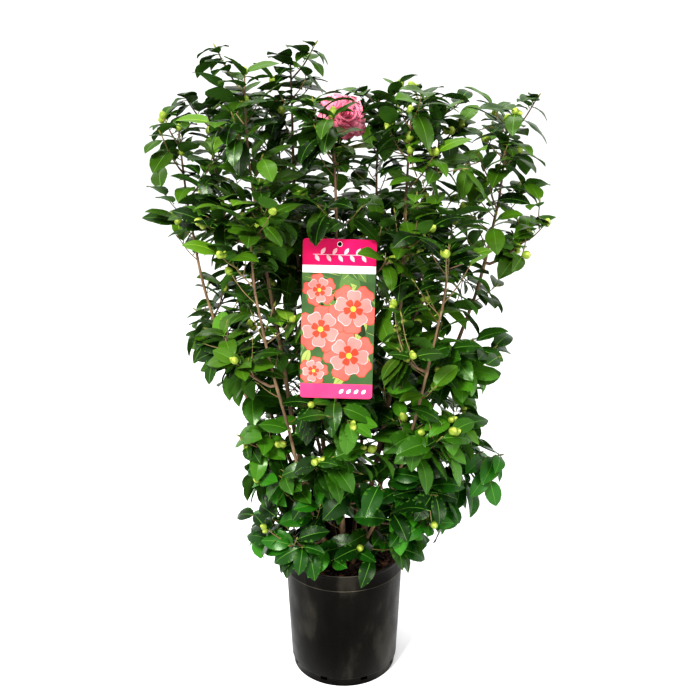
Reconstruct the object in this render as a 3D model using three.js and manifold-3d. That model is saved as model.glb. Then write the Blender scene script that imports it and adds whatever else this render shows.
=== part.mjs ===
// A camellia shrub standing in its nursery pot. Millimetres, +Z up, -Y is the front.
// The origin is the centre of the pot's flat underside.
// Twelve slender stems fan out of one root. Round each stem grow its masses of foliage: side boughs
// at up to three levels and one leader on the stem's tip. Every mass is one fused solid of three-sided
// twigs with leaves and flower buds, and keeps 0.3 mm clear of the stem that carries it.

import * as THREE from 'three';
import { mergeVertices } from 'three/addons/utils/BufferGeometryUtils.js';
import Module from 'manifold-3d';

const wasm = await Module();
wasm.setup();

// ---------------------------------------------------------------------------------------------
// Driving dimensions
// ---------------------------------------------------------------------------------------------

const GAP = 0.3; // between pieces that touch

const POT = {
  height: 297,
  rimRadius: 138,
  bodyFootRadius: 124.5, // the tapering wall where it meets the foot
  footRadius: 120.5,
  footHeight: 20,
  bandHeight: 40, // the stepped band under the rim
  bandStep: 1.6,
  wall: 2.6,
  floor: 4,
  sides: 32,
};
const DRAIN = { count: 8, width: 16, height: 9 }; // slots through the foot

const SOIL = { depthBelowRim: 27, crown: 3, flatRadius: 60 };
const SOIL_LEVEL = POT.height - SOIL.depthBelowRim;

// Each stem: where its leader ends, and its radius above the flare at the root.
const STEMS = {
  left_outer: { top: [-332, 0, 1240], girth: 5.4 },
  left_back: { top: [-290, 130, 1272], girth: 5.2 },
  left_front: { top: [-185, -100, 1352], girth: 6.0 },
  centre_left: { top: [-107, 50, 1376], girth: 6.2 },
  centre: { top: [-18, -108, 1278], girth: 6.6 },
  centre_right: { top: [132, -75, 1278], girth: 6.4 },
  right_inner: { top: [205, 105, 1270], girth: 5.6 },
  right_outer: { top: [330, 0, 1258], girth: 6.0 },
  front_left: { top: [-170, -215, 1085], girth: 4.8 },
  front_right: { top: [200, -205, 1045], girth: 4.8 },
  back_left: { top: [-150, 230, 1240], girth: 5.2 },
  back_right: { top: [80, 235, 1290], girth: 5.2 },
};
const STEM = {
  footRing: 39, // radius of the ring of feet on the soil
  leanPower: 1.75, // above 1 a stem leans out low down and stands up towards its tip
  wobble: 8,
  taper: 0.66, // share of the radius that is lost from foot to tip
  flare: 0.4, // extra radius at the root
  flareHeight: 20,
  sides: 6,
  rings: 6,
  bareShare: 0.84, // the stem ends here and its leader goes on
};

// Side boughs leave a stem at these shares of its height and turn where they find most room. Their leaves
// droop by so much, their blades turn so far from the sky towards the side that their twig points to, and
// they are so large.
const LEVELS = {
  low: { at: 0.12, rise: [4, 26], length: 200, droop: 0.72, facing: 0.85, leaf: 1 },
  middle: { at: 0.36, rise: [18, 42], length: 190, droop: 0.62, facing: 0.8, leaf: 0.98 },
  high: { at: 0.62, rise: [20, 48], length: 175, droop: 0.48, facing: 0.5, leaf: 0.93 },
};
const LEVEL_SPREAD = 0.17; // from the lowest bough of a level to its highest
const BARE_BELOW = ['centre_left', 'centre_right', 'back_right', 'right_inner']; // stems with no low bough

// The crown at a few heights: its middle, half its width, and its depth as a share of its width.
const CROWN = [
  { z: 290, middle: -8, half: 240 },
  { z: 370, middle: 0, half: 258 },
  { z: 440, middle: 75, half: 300 },
  { z: 550, middle: 66, half: 304 },
  { z: 640, middle: 50, half: 308 },
  { z: 730, middle: 20, half: 345 },
  { z: 810, middle: 12, half: 388 },
  { z: 890, middle: 25, half: 352 },
  { z: 1005, middle: 18, half: 350 },
  { z: 1065, middle: 6, half: 450 },
  { z: 1150, middle: 20, half: 445 },
  { z: 1300, middle: 5, half: 390 },
];
const CROWN_DEPTH = 0.78;
// Across the crown: how high its leaves may reach.
const CROWN_TOP = [
  { x: -440, z: 1150 },
  { x: -390, z: 1290 },
  { x: -335, z: 1345 },
  { x: -284, z: 1400 },
  { x: -110, z: 1430 },
  { x: -47, z: 1375 },
  { x: 0, z: 1335 },
  { x: 178, z: 1305 },
  { x: 332, z: 1318 },
  { x: 394, z: 1275 },
  { x: 440, z: 1150 },
];
const CROWN_FOOT = 262; // no leaf hangs lower, so that the pot shows
// At the front the crown stands open over the pot, and its floor rises towards the front.
const OPENING = { left: -30, right: 92, back: 60, floor: 372, slope: 0.58 };

const BOUGH = {
  girth: 3.1,
  tip: 1.7,
  elbow: 9, // a bough first leaves its stem square on
  segments: 3,
  sway: 0.42, // radians that its heading may wander at each segment
  laterals: 3,
  space: 178, // no twig or leaf strays further than this from its bough
  leafReach: 76, // what leaves add to the bough's length
  shortest: 95,
  headings: 12, // how many directions are tried
  depthShare: 0.45,
  outward: 22, // mm of room that a heading straight away from the shrub's middle is worth
};
const LATERAL = { neck: 5, girth: 1.6, tip: 1.1, length: 92, sweep: 0.95, lift: 0.3 };
const LEADER = { girth: 2.6, tip: 1.6, laterals: 3, droop: 0.4, facing: 0.25, leaf: 0.92, sweep: 0.78 };

const LEAF = {
  length: 90,
  slimness: 0.47, // width over length
  thickness: 1.5,
  root: 0.8, // height of the stalk inside the twig
  stalkFrom: 0.2, // where the stalk starts, measured from the twig's axis
  widest: 0.45,
  onBough: 8,
  onLateral: 6,
  onInner: 3,
  spare: 11, // least distance between two blades
  tries: 3,
  rank: (2 * Math.PI) / 3, // leaves stand in three ranks, one on each side of a twig
  stray: 0.5,
  solidEvery: 1.9, // about every second leaf is a solid, and is larger than life for it
  solidScale: 1.25,
};
const BUD = { length: 21, radius: 8.6, sides: 5, inTwig: 6, chance: 0.6 };
const BLOOM = {
  radius: 54,
  depth: 22,
  petals: 7,
  ruffle: 0.1,
  bough: 'centre',
  at: [4, -10, 1272],
  clearing: 40, // radius of the way towards the front that leaves keep open
};

const LABEL = {
  width: 145,
  length: 318,
  thickness: 1.2,
  corner: 7,
  lean: 9, // degrees that its foot stands forward, resting on the foliage
  twist: 1.6, // degrees that it hangs out of true
  holeRadius: 4.2,
  holeDepth: 10, // from the top edge
  slack: 1.05, // how far the hole's middle hangs under its peg's
  at: 0.751, // share of the centre stem's height where its peg leaves
};
const PEG = { radius: 2.4, length: 34, heading: -72, rise: 16, hangsAt: 24, sides: 8 };

const UP = new THREE.Vector3(0, 0, 1);
const SEED = 3030; // another number grows another shrub of the same habit

// ---------------------------------------------------------------------------------------------
// Small helpers
// ---------------------------------------------------------------------------------------------

const radians = THREE.MathUtils.degToRad;
const vec = (x, y, z) => new THREE.Vector3(x, y, z);
const stepFrom = (point, direction, distance) => point.clone().addScaledVector(direction, distance);
const heading = (angle, rise) =>
  vec(Math.cos(angle) * Math.cos(rise), Math.sin(angle) * Math.cos(rise), Math.sin(rise));

// A small seeded generator, so that the shrub grows alike each time.
function seeded(seed) {
  let state = seed >>> 0;
  return () => {
    state = (state + 0x6d2b79f5) >>> 0;
    let t = Math.imul(state ^ (state >>> 15), state | 1);
    t = (t ^ (t + Math.imul(t ^ (t >>> 7), t | 61))) >>> 0;
    return ((t ^ (t >>> 14)) >>> 0) / 4294967296;
  };
}

// The unit vector nearest to v that stands square on axis.
function squareOn(axis, v) {
  const part = stepFrom(v, axis, -v.dot(axis));
  return part.lengthSq() > 1e-6 ? part.normalize() : squareOn(axis, vec(1, 0, 0));
}

function indexed(points, faces) {
  const geometry = new THREE.BufferGeometry();
  geometry.setAttribute('position', new THREE.Float32BufferAttribute(points.flatMap((p) => p.toArray()), 3));
  geometry.setIndex(faces.flat());
  return geometry;
}

function solidOf(geometry) {
  const bare = geometry.index ? geometry.toNonIndexed() : geometry.clone();
  bare.deleteAttribute('normal');
  bare.deleteAttribute('uv');
  const merged = mergeVertices(bare, 1e-3);
  return new wasm.Manifold(
    new wasm.Mesh({
      numProp: 3,
      vertProperties: merged.attributes.position.array,
      triVerts: new Uint32Array(merged.index.array),
    }),
  );
}

function geometryOf(solid) {
  const mesh = solid.getMesh();
  const points = new Float32Array(mesh.numVert * 3);
  for (let i = 0; i < mesh.numVert; i += 1)
    points.set(mesh.vertProperties.subarray(i * mesh.numProp, i * mesh.numProp + 3), i * 3);
  const geometry = new THREE.BufferGeometry();
  geometry.setAttribute('position', new THREE.BufferAttribute(points, 3));
  geometry.setIndex(new THREE.BufferAttribute(mesh.triVerts, 1));
  return geometry;
}

// The largest connected body of a solid, as loose scraps are dropped.
function largestBody(solid) {
  return solid.decompose().reduce((best, body) => (body.volume() > best.volume() ? body : best));
}

const fuse = (solids) => solids.reduce((whole, solid) => whole.add(solid));

// Merges equal corners and drops the faces that thereby lose their area.
function welded(geometry) {
  const merged = mergeVertices(geometry, 1e-3);
  const index = merged.index.array;
  const kept = [];
  for (let i = 0; i < index.length; i += 3) {
    const [a, b, c] = [index[i], index[i + 1], index[i + 2]];
    if (a !== b && b !== c && c !== a) kept.push(a, b, c);
  }
  merged.setIndex(kept);
  return merged;
}

// A closed tube through points, with a radius at each. Its first end may be cut along another axis.
function tube(points, radii, sides, firstAxis = null) {
  const corners = [];
  const faces = [];
  let across = UP;
  points.forEach((point, i) => {
    const before = points[Math.max(i - 1, 0)];
    const after = points[Math.min(i + 1, points.length - 1)];
    const axis = i === 0 && firstAxis ? firstAxis : after.clone().sub(before).normalize();
    across = squareOn(axis, across);
    const other = axis.clone().cross(across);
    for (let k = 0; k < sides; k += 1) {
      const angle = (2 * Math.PI * k) / sides;
      corners.push(
        stepFrom(stepFrom(point, across, radii[i] * Math.cos(angle)), other, radii[i] * Math.sin(angle)),
      );
    }
  });
  for (let i = 0; i < points.length - 1; i += 1)
    for (let k = 0; k < sides; k += 1) {
      const a = i * sides + k;
      const b = i * sides + ((k + 1) % sides);
      faces.push([a, b, b + sides], [a, b + sides, a + sides]);
    }
  const last = (points.length - 1) * sides;
  for (let k = 1; k < sides - 1; k += 1) faces.push([0, k + 1, k], [last, last + k, last + k + 1]);
  return indexed(corners, faces);
}

// ---------------------------------------------------------------------------------------------
// Pot and soil
// ---------------------------------------------------------------------------------------------

function turned(profile, sides) {
  return new THREE.LatheGeometry(
    profile.map(([r, z]) => new THREE.Vector2(r, z)),
    sides,
  ).rotateX(Math.PI / 2);
}

// The pot's outer radius at a height on its tapering wall, without band and foot.
function wallRadius(z) {
  const share = (z - POT.footHeight) / (POT.height - POT.footHeight);
  return POT.bodyFootRadius + (POT.rimRadius - POT.bandStep - POT.bodyFootRadius) * share;
}

function potSolid() {
  const { height, rimRadius, footRadius, footHeight, bandHeight, bandStep, wall, floor } = POT;
  const bandFoot = height - bandHeight;
  const lip = 1.2;
  const profile = [
    [0, 0],
    [footRadius, 0],
    [footRadius + 0.8, footHeight],
    [wallRadius(footHeight), footHeight + 3],
    [wallRadius(bandFoot), bandFoot],
    [wallRadius(bandFoot) + bandStep, bandFoot + 2],
    [rimRadius, height - lip],
    [rimRadius - lip, height],
    [rimRadius - wall, height],
    [wallRadius(bandFoot) - wall, bandFoot],
    [footRadius - wall, floor + 8],
    [footRadius - wall - 8, floor],
    [0, floor],
  ];
  const body = solidOf(turned(profile, POT.sides));
  const slots = Array.from({ length: DRAIN.count }, (_, i) =>
    solidOf(
      new THREE.BoxGeometry(3 * wall, DRAIN.width, DRAIN.height)
        .translate(footRadius - 0.5, 0, footHeight - DRAIN.height / 2 + 1)
        .rotateZ((2 * Math.PI * (i + 0.5)) / DRAIN.count),
    ),
  );
  return slots.reduce((whole, slot) => whole.subtract(slot), body);
}

function soilSolid() {
  const { height, footRadius, bandHeight, wall, floor } = POT;
  const bandFoot = height - bandHeight;
  // The pot's walls are flat between their corners, so the soil stays inside those flats.
  const flats = Math.cos(Math.PI / POT.sides);
  const inside = (r) => (r - wall) * flats - 2 * GAP;
  const bandInside = inside(wallRadius(bandFoot));
  const rimInside = inside(POT.rimRadius);
  const surface = bandInside + (rimInside - bandInside) * ((SOIL_LEVEL - bandFoot) / bandHeight);
  const profile = [
    [0, floor + GAP],
    [inside(footRadius) - 8.5, floor + GAP],
    [inside(footRadius) - 0.5, floor + 8 + GAP],
    [bandInside, bandFoot],
    [surface, SOIL_LEVEL - SOIL.crown],
    [SOIL.flatRadius, SOIL_LEVEL],
    [0, SOIL_LEVEL],
  ];
  return solidOf(turned(profile, POT.sides));
}

// ---------------------------------------------------------------------------------------------
// Stems
// ---------------------------------------------------------------------------------------------

// The feet stand evenly on one ring, in the order of the directions in which the stems lean.
function placeStems() {
  const names = Object.keys(STEMS);
  const leanAngle = (name) => Math.atan2(STEMS[name].top[1], STEMS[name].top[0]);
  const order = [...names].sort((a, b) => leanAngle(a) - leanAngle(b));
  const start = leanAngle(order[0]);
  return names.map((name, i) => {
    const angle = start + (2 * Math.PI * order.indexOf(name)) / names.length;
    const foot = vec(STEM.footRing * Math.cos(angle), STEM.footRing * Math.sin(angle), SOIL_LEVEL + GAP);
    const stem = { name, index: i, foot, top: vec(...STEMS[name].top), girth: STEMS[name].girth };
    return { ...stem, rings: stemRings(stem) };
  });
}

// The rings of a stem stand closer together low down, where the flare is.
function stemRings(stem) {
  return Array.from({ length: STEM.rings + 1 }, (_, i) => {
    const t = STEM.bareShare * (i / STEM.rings) ** 1.35;
    return stemRing(stem, t);
  }).concat([0.895, 0.95, 1].map((t) => stemRing(stem, t)));
}

function stemRing(stem, t) {
  const lean = 1 - (1 - t) ** STEM.leanPower;
  const swing = STEM.wobble * Math.sin(Math.PI * t);
  const rise = t * (stem.top.z - stem.foot.z);
  const centre = vec(
    stem.foot.x + (stem.top.x - stem.foot.x) * lean + swing * Math.sin(7 * t + 2.1 * stem.index),
    stem.foot.y + (stem.top.y - stem.foot.y) * lean + swing * Math.cos(6 * t + 1.3 * stem.index),
    stem.foot.z + rise,
  );
  const radius = stem.girth * (1 - STEM.taper * t + STEM.flare * Math.exp(-rise / STEM.flareHeight));
  return { t, centre, radius };
}

function stemSpan(stem, t) {
  const index = Math.min(Math.max(stem.rings.findIndex((ring) => ring.t >= t), 1), stem.rings.length - 1);
  const [below, above] = [stem.rings[index - 1], stem.rings[index]];
  return { below, above, share: (t - below.t) / (above.t - below.t), index };
}

function stemPoint(stem, t) {
  const { below, above, share } = stemSpan(stem, t);
  return below.centre.clone().lerp(above.centre, share);
}

function stemRadius(stem, t) {
  const { below, above, share } = stemSpan(stem, t);
  return below.radius + (above.radius - below.radius) * share;
}

function stemDirection(stem, t) {
  const { below, above } = stemSpan(stem, t);
  return above.centre.clone().sub(below.centre).normalize();
}

const bareRings = (stem) => stem.rings.slice(0, STEM.rings + 1);

function stemSolid(stem) {
  const rings = bareRings(stem);
  const points = rings.map((ring) => ring.centre);
  const radii = rings.map((ring) => ring.radius);
  // The foot is cut level: the tube starts lower and a block takes off what is under the soil's surface.
  points.unshift(stepFrom(points[0], stemDirection(stem, 0), -12));
  radii.unshift(radii[0]);
  const below = solidOf(new THREE.BoxGeometry(400, 400, 60).translate(0, 0, SOIL_LEVEL + GAP - 30));
  stem.tube = tube(points, radii, STEM.sides);
  return solidOf(stem.tube).subtract(below);
}

// ---------------------------------------------------------------------------------------------
// Label, hung by its hole on a stub of a side twig
// ---------------------------------------------------------------------------------------------

function labelFrame(stem) {
  const out = heading(radians(PEG.heading), radians(PEG.rise));
  const pegRoot = stemPoint(stem, LABEL.at);
  const lean = radians(LABEL.lean);
  const twist = radians(LABEL.twist);
  const down = vec(-Math.sin(twist), -Math.sin(lean) * Math.cos(twist), -Math.cos(lean) * Math.cos(twist));
  const face = squareOn(down, vec(0, -1, 0.2));
  const across = down.clone().cross(face);
  const hole = stepFrom(stepFrom(pegRoot, out, PEG.hangsAt), down, LABEL.slack);
  const centre = stepFrom(hole, down, LABEL.length / 2 - LABEL.holeDepth);
  return { pegRoot, out, down, face, across, hole, centre };
}

function labelSolid(frame) {
  const halfWidth = LABEL.width / 2;
  const halfLength = LABEL.length / 2;
  const { corner } = LABEL;
  const outline = new THREE.Shape();
  outline.moveTo(-halfWidth + corner, -halfLength);
  outline.lineTo(halfWidth - corner, -halfLength);
  outline.absarc(halfWidth - corner, -halfLength + corner, corner, -Math.PI / 2, 0);
  outline.lineTo(halfWidth, halfLength - corner);
  outline.absarc(halfWidth - corner, halfLength - corner, corner, 0, Math.PI / 2);
  outline.lineTo(-halfWidth + corner, halfLength);
  outline.absarc(-halfWidth + corner, halfLength - corner, corner, Math.PI / 2, Math.PI);
  outline.lineTo(-halfWidth, -halfLength + corner);
  outline.absarc(-halfWidth + corner, -halfLength + corner, corner, Math.PI, 1.5 * Math.PI);
  const holeCorners = Array.from({ length: PEG.sides }, (_, k) => {
    const angle = (-2 * Math.PI * (k + 0.5)) / PEG.sides;
    const { holeRadius, holeDepth } = LABEL;
    return new THREE.Vector2(holeRadius * Math.cos(angle), halfLength - holeDepth + holeRadius * Math.sin(angle));
  });
  outline.holes.push(new THREE.Path(holeCorners));
  const card = new THREE.ExtrudeGeometry(outline, {
    depth: LABEL.thickness,
    bevelEnabled: false,
    curveSegments: 2,
  }).translate(0, 0, -LABEL.thickness / 2);
  const up = frame.down.clone().negate();
  const right = up.clone().cross(frame.face);
  card.applyMatrix4(new THREE.Matrix4().makeBasis(right, up, frame.face).setPosition(frame.centre));
  return solidOf(card);
}

function pegSolid(frame) {
  const end = stepFrom(frame.pegRoot, frame.out, PEG.length);
  return solidOf(tube([frame.pegRoot, end], [PEG.radius + 0.5, PEG.radius - 0.2], PEG.sides));
}

// ---------------------------------------------------------------------------------------------
// Growth: the rule that places boughs, twigs, leaves and buds
// ---------------------------------------------------------------------------------------------

const SAMPLE_STEP = 10;

function samplesAlong(points) {
  const samples = [];
  for (let i = 0; i < points.length - 1; i += 1) {
    const count = Math.max(1, Math.ceil(points[i].distanceTo(points[i + 1]) / SAMPLE_STEP));
    for (let k = 1; k <= count; k += 1) samples.push(points[i].clone().lerp(points[i + 1], k / count));
  }
  return samples;
}

const nearest = (point, others) => others.reduce((least, other) => Math.min(least, point.distanceTo(other)), 1e9);

// Distance with depth counted less, as the crown is fuller across than from front to back.
const nearestAcross = (point, others) =>
  others.reduce((least, o) => {
    const depth = BOUGH.depthShare * (point.y - o.y);
    return Math.min(least, Math.hypot(point.x - o.x, depth, point.z - o.z));
  }, 1e9);

function crownAt(z) {
  const above = CROWN.findIndex((station) => station.z > z);
  if (above === 0) return CROWN[0];
  if (above < 0) return CROWN[CROWN.length - 1];
  const [low, high] = [CROWN[above - 1], CROWN[above]];
  const share = (z - low.z) / (high.z - low.z);
  return {
    middle: low.middle + (high.middle - low.middle) * share,
    half: low.half + (high.half - low.half) * share,
  };
}

function underTop(point) {
  const above = CROWN_TOP.findIndex((station) => station.x > point.x);
  if (above === 0) return point.z < CROWN_TOP[0].z;
  if (above < 0) return point.z < CROWN_TOP[CROWN_TOP.length - 1].z;
  const [left, right] = [CROWN_TOP[above - 1], CROWN_TOP[above]];
  return point.z < left.z + (right.z - left.z) * ((point.x - left.x) / (right.x - left.x));
}

function insideCrown(point) {
  const { middle, half } = crownAt(point.z);
  return ((point.x - middle) / half) ** 2 + (point.y / (half * CROWN_DEPTH)) ** 2 < 1;
}

// What growing twigs and leaves keep away from.
class Surroundings {
  constructor(stems, frame) {
    this.stems = stems.map((stem) => {
      const shares = Array.from({ length: 71 }, (_, i) => (STEM.bareShare * i) / 70);
      return shares.map((t) => ({ point: stemPoint(stem, t), radius: stemRadius(stem, t) }));
    });
    this.frame = frame;
    this.blades = [];
    this.twigs = [];
  }

  meetsStem(point, spare) {
    return this.stems.some((stem) =>
      stem.some(({ point: at, radius }) => point.distanceTo(at) < radius + spare),
    );
  }

  // The card itself, and the room in front of it, from which it is read.
  meetsLabel(point, spare) {
    const from = point.clone().sub(this.frame.centre);
    const side = Math.abs(from.dot(this.frame.across));
    const down = from.dot(this.frame.down);
    const front = from.dot(this.frame.face);
    const inCard = side < LABEL.width / 2 + spare && Math.abs(down) < LABEL.length / 2 + spare;
    const overTop = down < -LABEL.length / 2 + 34;
    return inCard && front > -spare && (front < spare || !overTop);
  }

  meetsPot(point, spare) {
    const out = Math.hypot(point.x, point.y);
    if (out < wallRadius(point.z) - POT.wall - spare) return point.z < SOIL_LEVEL + spare;
    return out < POT.rimRadius + spare && point.z < POT.height + spare;
  }

  meetsBloom(point, spare) {
    if (!this.bloom) return false;
    const from = point.clone().sub(this.bloom.centre);
    const along = from.dot(this.bloom.face);
    const out = Math.sqrt(Math.max(from.lengthSq() - along * along, 0));
    const onBloom = (out / (BLOOM.radius + spare)) ** 2 + (along / (BLOOM.depth + spare)) ** 2 < 1;
    return onBloom || (from.y < 0 && Math.hypot(from.x, from.z) < BLOOM.clearing + spare);
  }

  meetsOpening(point) {
    const across = point.x > OPENING.left && point.x < OPENING.right && point.y < OPENING.back;
    return across && point.z < OPENING.floor - OPENING.slope * Math.min(point.y, 0);
  }

  meetsAny(point, spare) {
    return (
      this.meetsStem(point, spare) ||
      this.meetsLabel(point, spare + 2) ||
      this.meetsPot(point, spare + 2) ||
      this.meetsOpening(point) ||
      this.meetsBloom(point, spare)
    );
  }
}

function leafMarks(leaf) {
  const middle = stepFrom(stepFrom(leaf.root, leaf.along, leaf.length * LEAF.widest), leaf.up, leaf.arch);
  const tip = stepFrom(stepFrom(leaf.root, leaf.along, leaf.length * 0.97), leaf.up, -leaf.drop);
  const side = leaf.up.clone().cross(leaf.along);
  return {
    middle,
    tip,
    left: stepFrom(middle, side, leaf.width / 2),
    right: stepFrom(middle, side, -leaf.width / 2),
    beyond: middle.clone().lerp(tip, 0.55),
  };
}

function growLeaf(shoot, share, order, count, random, place, space) {
  const draws = [random(), random(), random(), random(), random(), random()];
  const root = shoot.from.clone().lerp(shoot.to, share);
  const axis = shoot.to.clone().sub(shoot.from).normalize();
  const across = squareOn(axis, UP);
  const other = axis.clone().cross(across);
  const spread = radians(72 - 30 * (order / (count - 1)) + 16 * (draws[0] - 0.5));
  for (let turn = 0; turn < LEAF.tries; turn += 1) {
    const angle = LEAF.rank * (order + turn + 0.5) + LEAF.stray * (draws[0] - 0.5);
    const out = across.clone().multiplyScalar(Math.cos(angle)).addScaledVector(other, Math.sin(angle));
    const along = axis.clone().multiplyScalar(Math.cos(spread)).addScaledVector(out, Math.sin(spread));
    along.z = Math.max(along.z - shoot.droop * (0.6 + 0.8 * draws[1]), -0.8);
    along.normalize();
    const skyward = vec(
      shoot.facing * axis.x + 0.5 * (draws[2] - 0.5),
      shoot.facing * axis.y + 0.5 * (draws[3] - 0.5),
      0.75 + 0.3 * axis.z,
    );
    const length = LEAF.length * shoot.leaf * (0.8 + 0.38 * draws[4]);
    const leaf = {
      root,
      along,
      up: squareOn(along, skyward),
      length,
      width: length * LEAF.slimness * (0.93 + 0.16 * draws[5]),
      arch: length * (0.05 + 0.05 * draws[1]),
      drop: length * (0.03 + 0.16 * draws[3]),
    };
    const marks = leafMarks(leaf);
    const points = [marks.middle, marks.beyond, marks.tip, marks.left, marks.right];
    const free =
      points.every((p) => !place.meetsAny(p, 3)) &&
      nearest(marks.tip, space) < BOUGH.space &&
      underTop(marks.tip) &&
      marks.tip.z > CROWN_FOOT &&
      insideCrown(marks.tip) &&
      points.every((p) => nearest(p, place.blades) > LEAF.spare);
    if (free) {
      place.blades.push(...points);
      return leaf;
    }
  }
  return null;
}

function growShoot(shoot, firstShare, count, random, place, space) {
  const leaves = [];
  for (let i = 0; i < count; i += 1) {
    const share = firstShare + (1 - firstShare) * (i / (count - 1)) ** 0.85 * 0.98;
    const leaf = growLeaf(shoot, share, i, count, random, place, space);
    if (leaf) leaves.push({ ...leaf, order: i });
  }
  const wantsBud = random() < BUD.chance;
  const direction = shoot.to.clone().sub(shoot.from).normalize();
  const tilt = vec(0.5 * (random() - 0.5), 0.5 * (random() - 0.5), 0.2);
  const buds = wantsBud ? [{ at: shoot.to, along: direction.add(tilt).normalize() }] : [];
  return { leaves, buds };
}

// One bough's line: square out of its stem, then turning up towards the light.
function boughLine(stem, t, level, angle, length, bends) {
  const out = squareOn(stemDirection(stem, t), heading(angle, 0));
  const start = stepFrom(stemPoint(stem, t), out, stemRadius(stem, t) + GAP);
  const points = [start, stepFrom(start, out, BOUGH.elbow)];
  let course = angle;
  for (let k = 1; k <= BOUGH.segments; k += 1) {
    const share = k / BOUGH.segments;
    const rise = radians(level.rise[0] + (level.rise[1] - level.rise[0]) * share);
    course += BOUGH.sway * (bends[k - 1] - 0.5);
    points.push(stepFrom(points[points.length - 1], heading(course, rise), length / BOUGH.segments));
  }
  return points;
}

function roomFor(stem, t, angle, longest) {
  const from = stemPoint(stem, t);
  let reach = 0;
  while (reach < longest + BOUGH.leafReach && insideCrown(stepFrom(from, heading(angle, 0), reach))) reach += 10;
  return Math.max(Math.min(reach - BOUGH.leafReach, longest), BOUGH.shortest);
}

// Of all the headings that a bough could take, the one with most room round its outer half.
function roomiestLine(stem, t, level, random, place) {
  const outward = Math.atan2(stem.top.y, stem.top.x);
  const start = outward + 0.5 * (random() - 0.5);
  const bends = Array.from({ length: BOUGH.segments }, random);
  let best = { room: -Infinity, line: null };
  for (let k = 0; k < BOUGH.headings; k += 1) {
    const angle = start + (2 * Math.PI * k) / BOUGH.headings;
    const line = boughLine(stem, t, level, angle, roomFor(stem, t, angle, level.length), bends);
    if (!isClear(line.slice(1), place, 14)) continue;
    const end = line[line.length - 1];
    const beyond = stepFrom(end, end.clone().sub(line[line.length - 2]).normalize(), 40);
    const tests = [line[line.length - 2], end, beyond];
    const least = Math.min(...tests.map((p) => nearestAcross(p, place.twigs)));
    const wayOut = insideCrown(beyond) ? 1 : 0.2;
    const room = Math.min(least, 130) * wayOut + BOUGH.outward * Math.cos(angle - outward);
    if (room > best.room) best = { room, line };
  }
  return best.line;
}

const isClear = (points, place, spare) =>
  samplesAlong(points).every((p) => !place.meetsAny(p, 3.5) && nearest(p, place.twigs) > spare);

// The point at a share of a line's length, and the line's direction there.
function alongLine(line, share) {
  const lengths = line.slice(1).map((point, i) => point.distanceTo(line[i]));
  let left = share * lengths.reduce((sum, length) => sum + length, 0);
  let i = 0;
  while (i < lengths.length - 1 && left > lengths[i]) {
    left -= lengths[i];
    i += 1;
  }
  const axis = line[i + 1].clone().sub(line[i]).normalize();
  return { from: stepFrom(line[i], axis, left), axis };
}

function growLaterals(line, count, settings, habit, random, place, space) {
  const shoots = [];
  for (let k = 0; k < count; k += 1) {
    const draws = [random(), random(), random(), random()];
    const share = settings.first + (settings.last - settings.first) * (k / (count - 1));
    const { from, axis } = alongLine(line, share);
    const side = squareOn(axis, axis.clone().cross(UP));
    const over = side.clone().cross(axis);
    for (let turn = 0; turn < 3; turn += 1) {
      const angle = settings.around(k) + 0.7 * (draws[0] - 0.5) + turn * 1.1;
      const out = side.clone().multiplyScalar(Math.cos(angle)).addScaledVector(over, Math.sin(angle));
      const aim = axis.clone().addScaledVector(out, settings.sweep * (0.85 + 0.4 * draws[1]));
      aim.z += settings.lift * draws[2];
      const to = stepFrom(from, aim.normalize(), LATERAL.length * (0.8 + 0.4 * draws[3]));
      const root = stepFrom(from, aim, 14);
      if (nearest(to, space) > BOUGH.space || !isClear([root, to], place, 11)) continue;
      place.twigs.push(...samplesAlong([root, to]));
      shoots.push({ from, to, ...habit });
      break;
    }
  }
  return shoots;
}

function growMass(mass, place) {
  const { stem, t, level, name } = mass;
  const random = seeded(mass.seed + SEED);
  let line = null;
  if (level) {
    line = roomiestLine(stem, t, level, random, place);
    if (!line) return null;
  } else {
    const start = stepFrom(stemPoint(stem, STEM.bareShare), stemDirection(stem, STEM.bareShare), GAP);
    line = [start, ...stem.rings.slice(STEM.rings + 1).map((ring) => ring.centre)];
  }
  const space = samplesAlong(line);
  place.twigs.push(...space);
  const { droop, facing, leaf } = level || LEADER;
  const habit = { droop, facing, leaf };
  const settings = level
    ? { first: 0.34, last: 0.82, sweep: LATERAL.sweep, lift: LATERAL.lift, around: (k) => (k % 2) * Math.PI }
    : { first: 0.08, last: 0.78, sweep: LEADER.sweep, lift: 0.1, around: (k) => k * radians(137.5) + mass.seed };
  const count = level ? BOUGH.laterals : LEADER.laterals;
  const laterals = growLaterals(line, count, settings, habit, random, place, space);
  if (mass.bloomAt) {
    const from = line[1];
    laterals.unshift({ from, to: mass.bloomAt, ...habit, bloom: true });
  }
  const last = line.length - 1;
  const end = { from: line[last - 1], to: line[last], ...habit };
  const inner = { from: line[last - 2], to: line[last - 1], ...habit, inner: true };
  const shoots = [
    { ...growShoot(end, 0, LEAF.onBough, random, place, space), ...end },
    ...laterals.map((shoot) => ({
      ...growShoot(shoot, 0.3, shoot.bloom ? 2 : LEAF.onLateral, random, place, space),
      ...shoot,
    })),
    { ...growShoot(inner, 0.1, LEAF.onInner, random, place, space), ...inner },
  ];
  return { name, stem, t, line, shoots, leader: !level };
}

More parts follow.
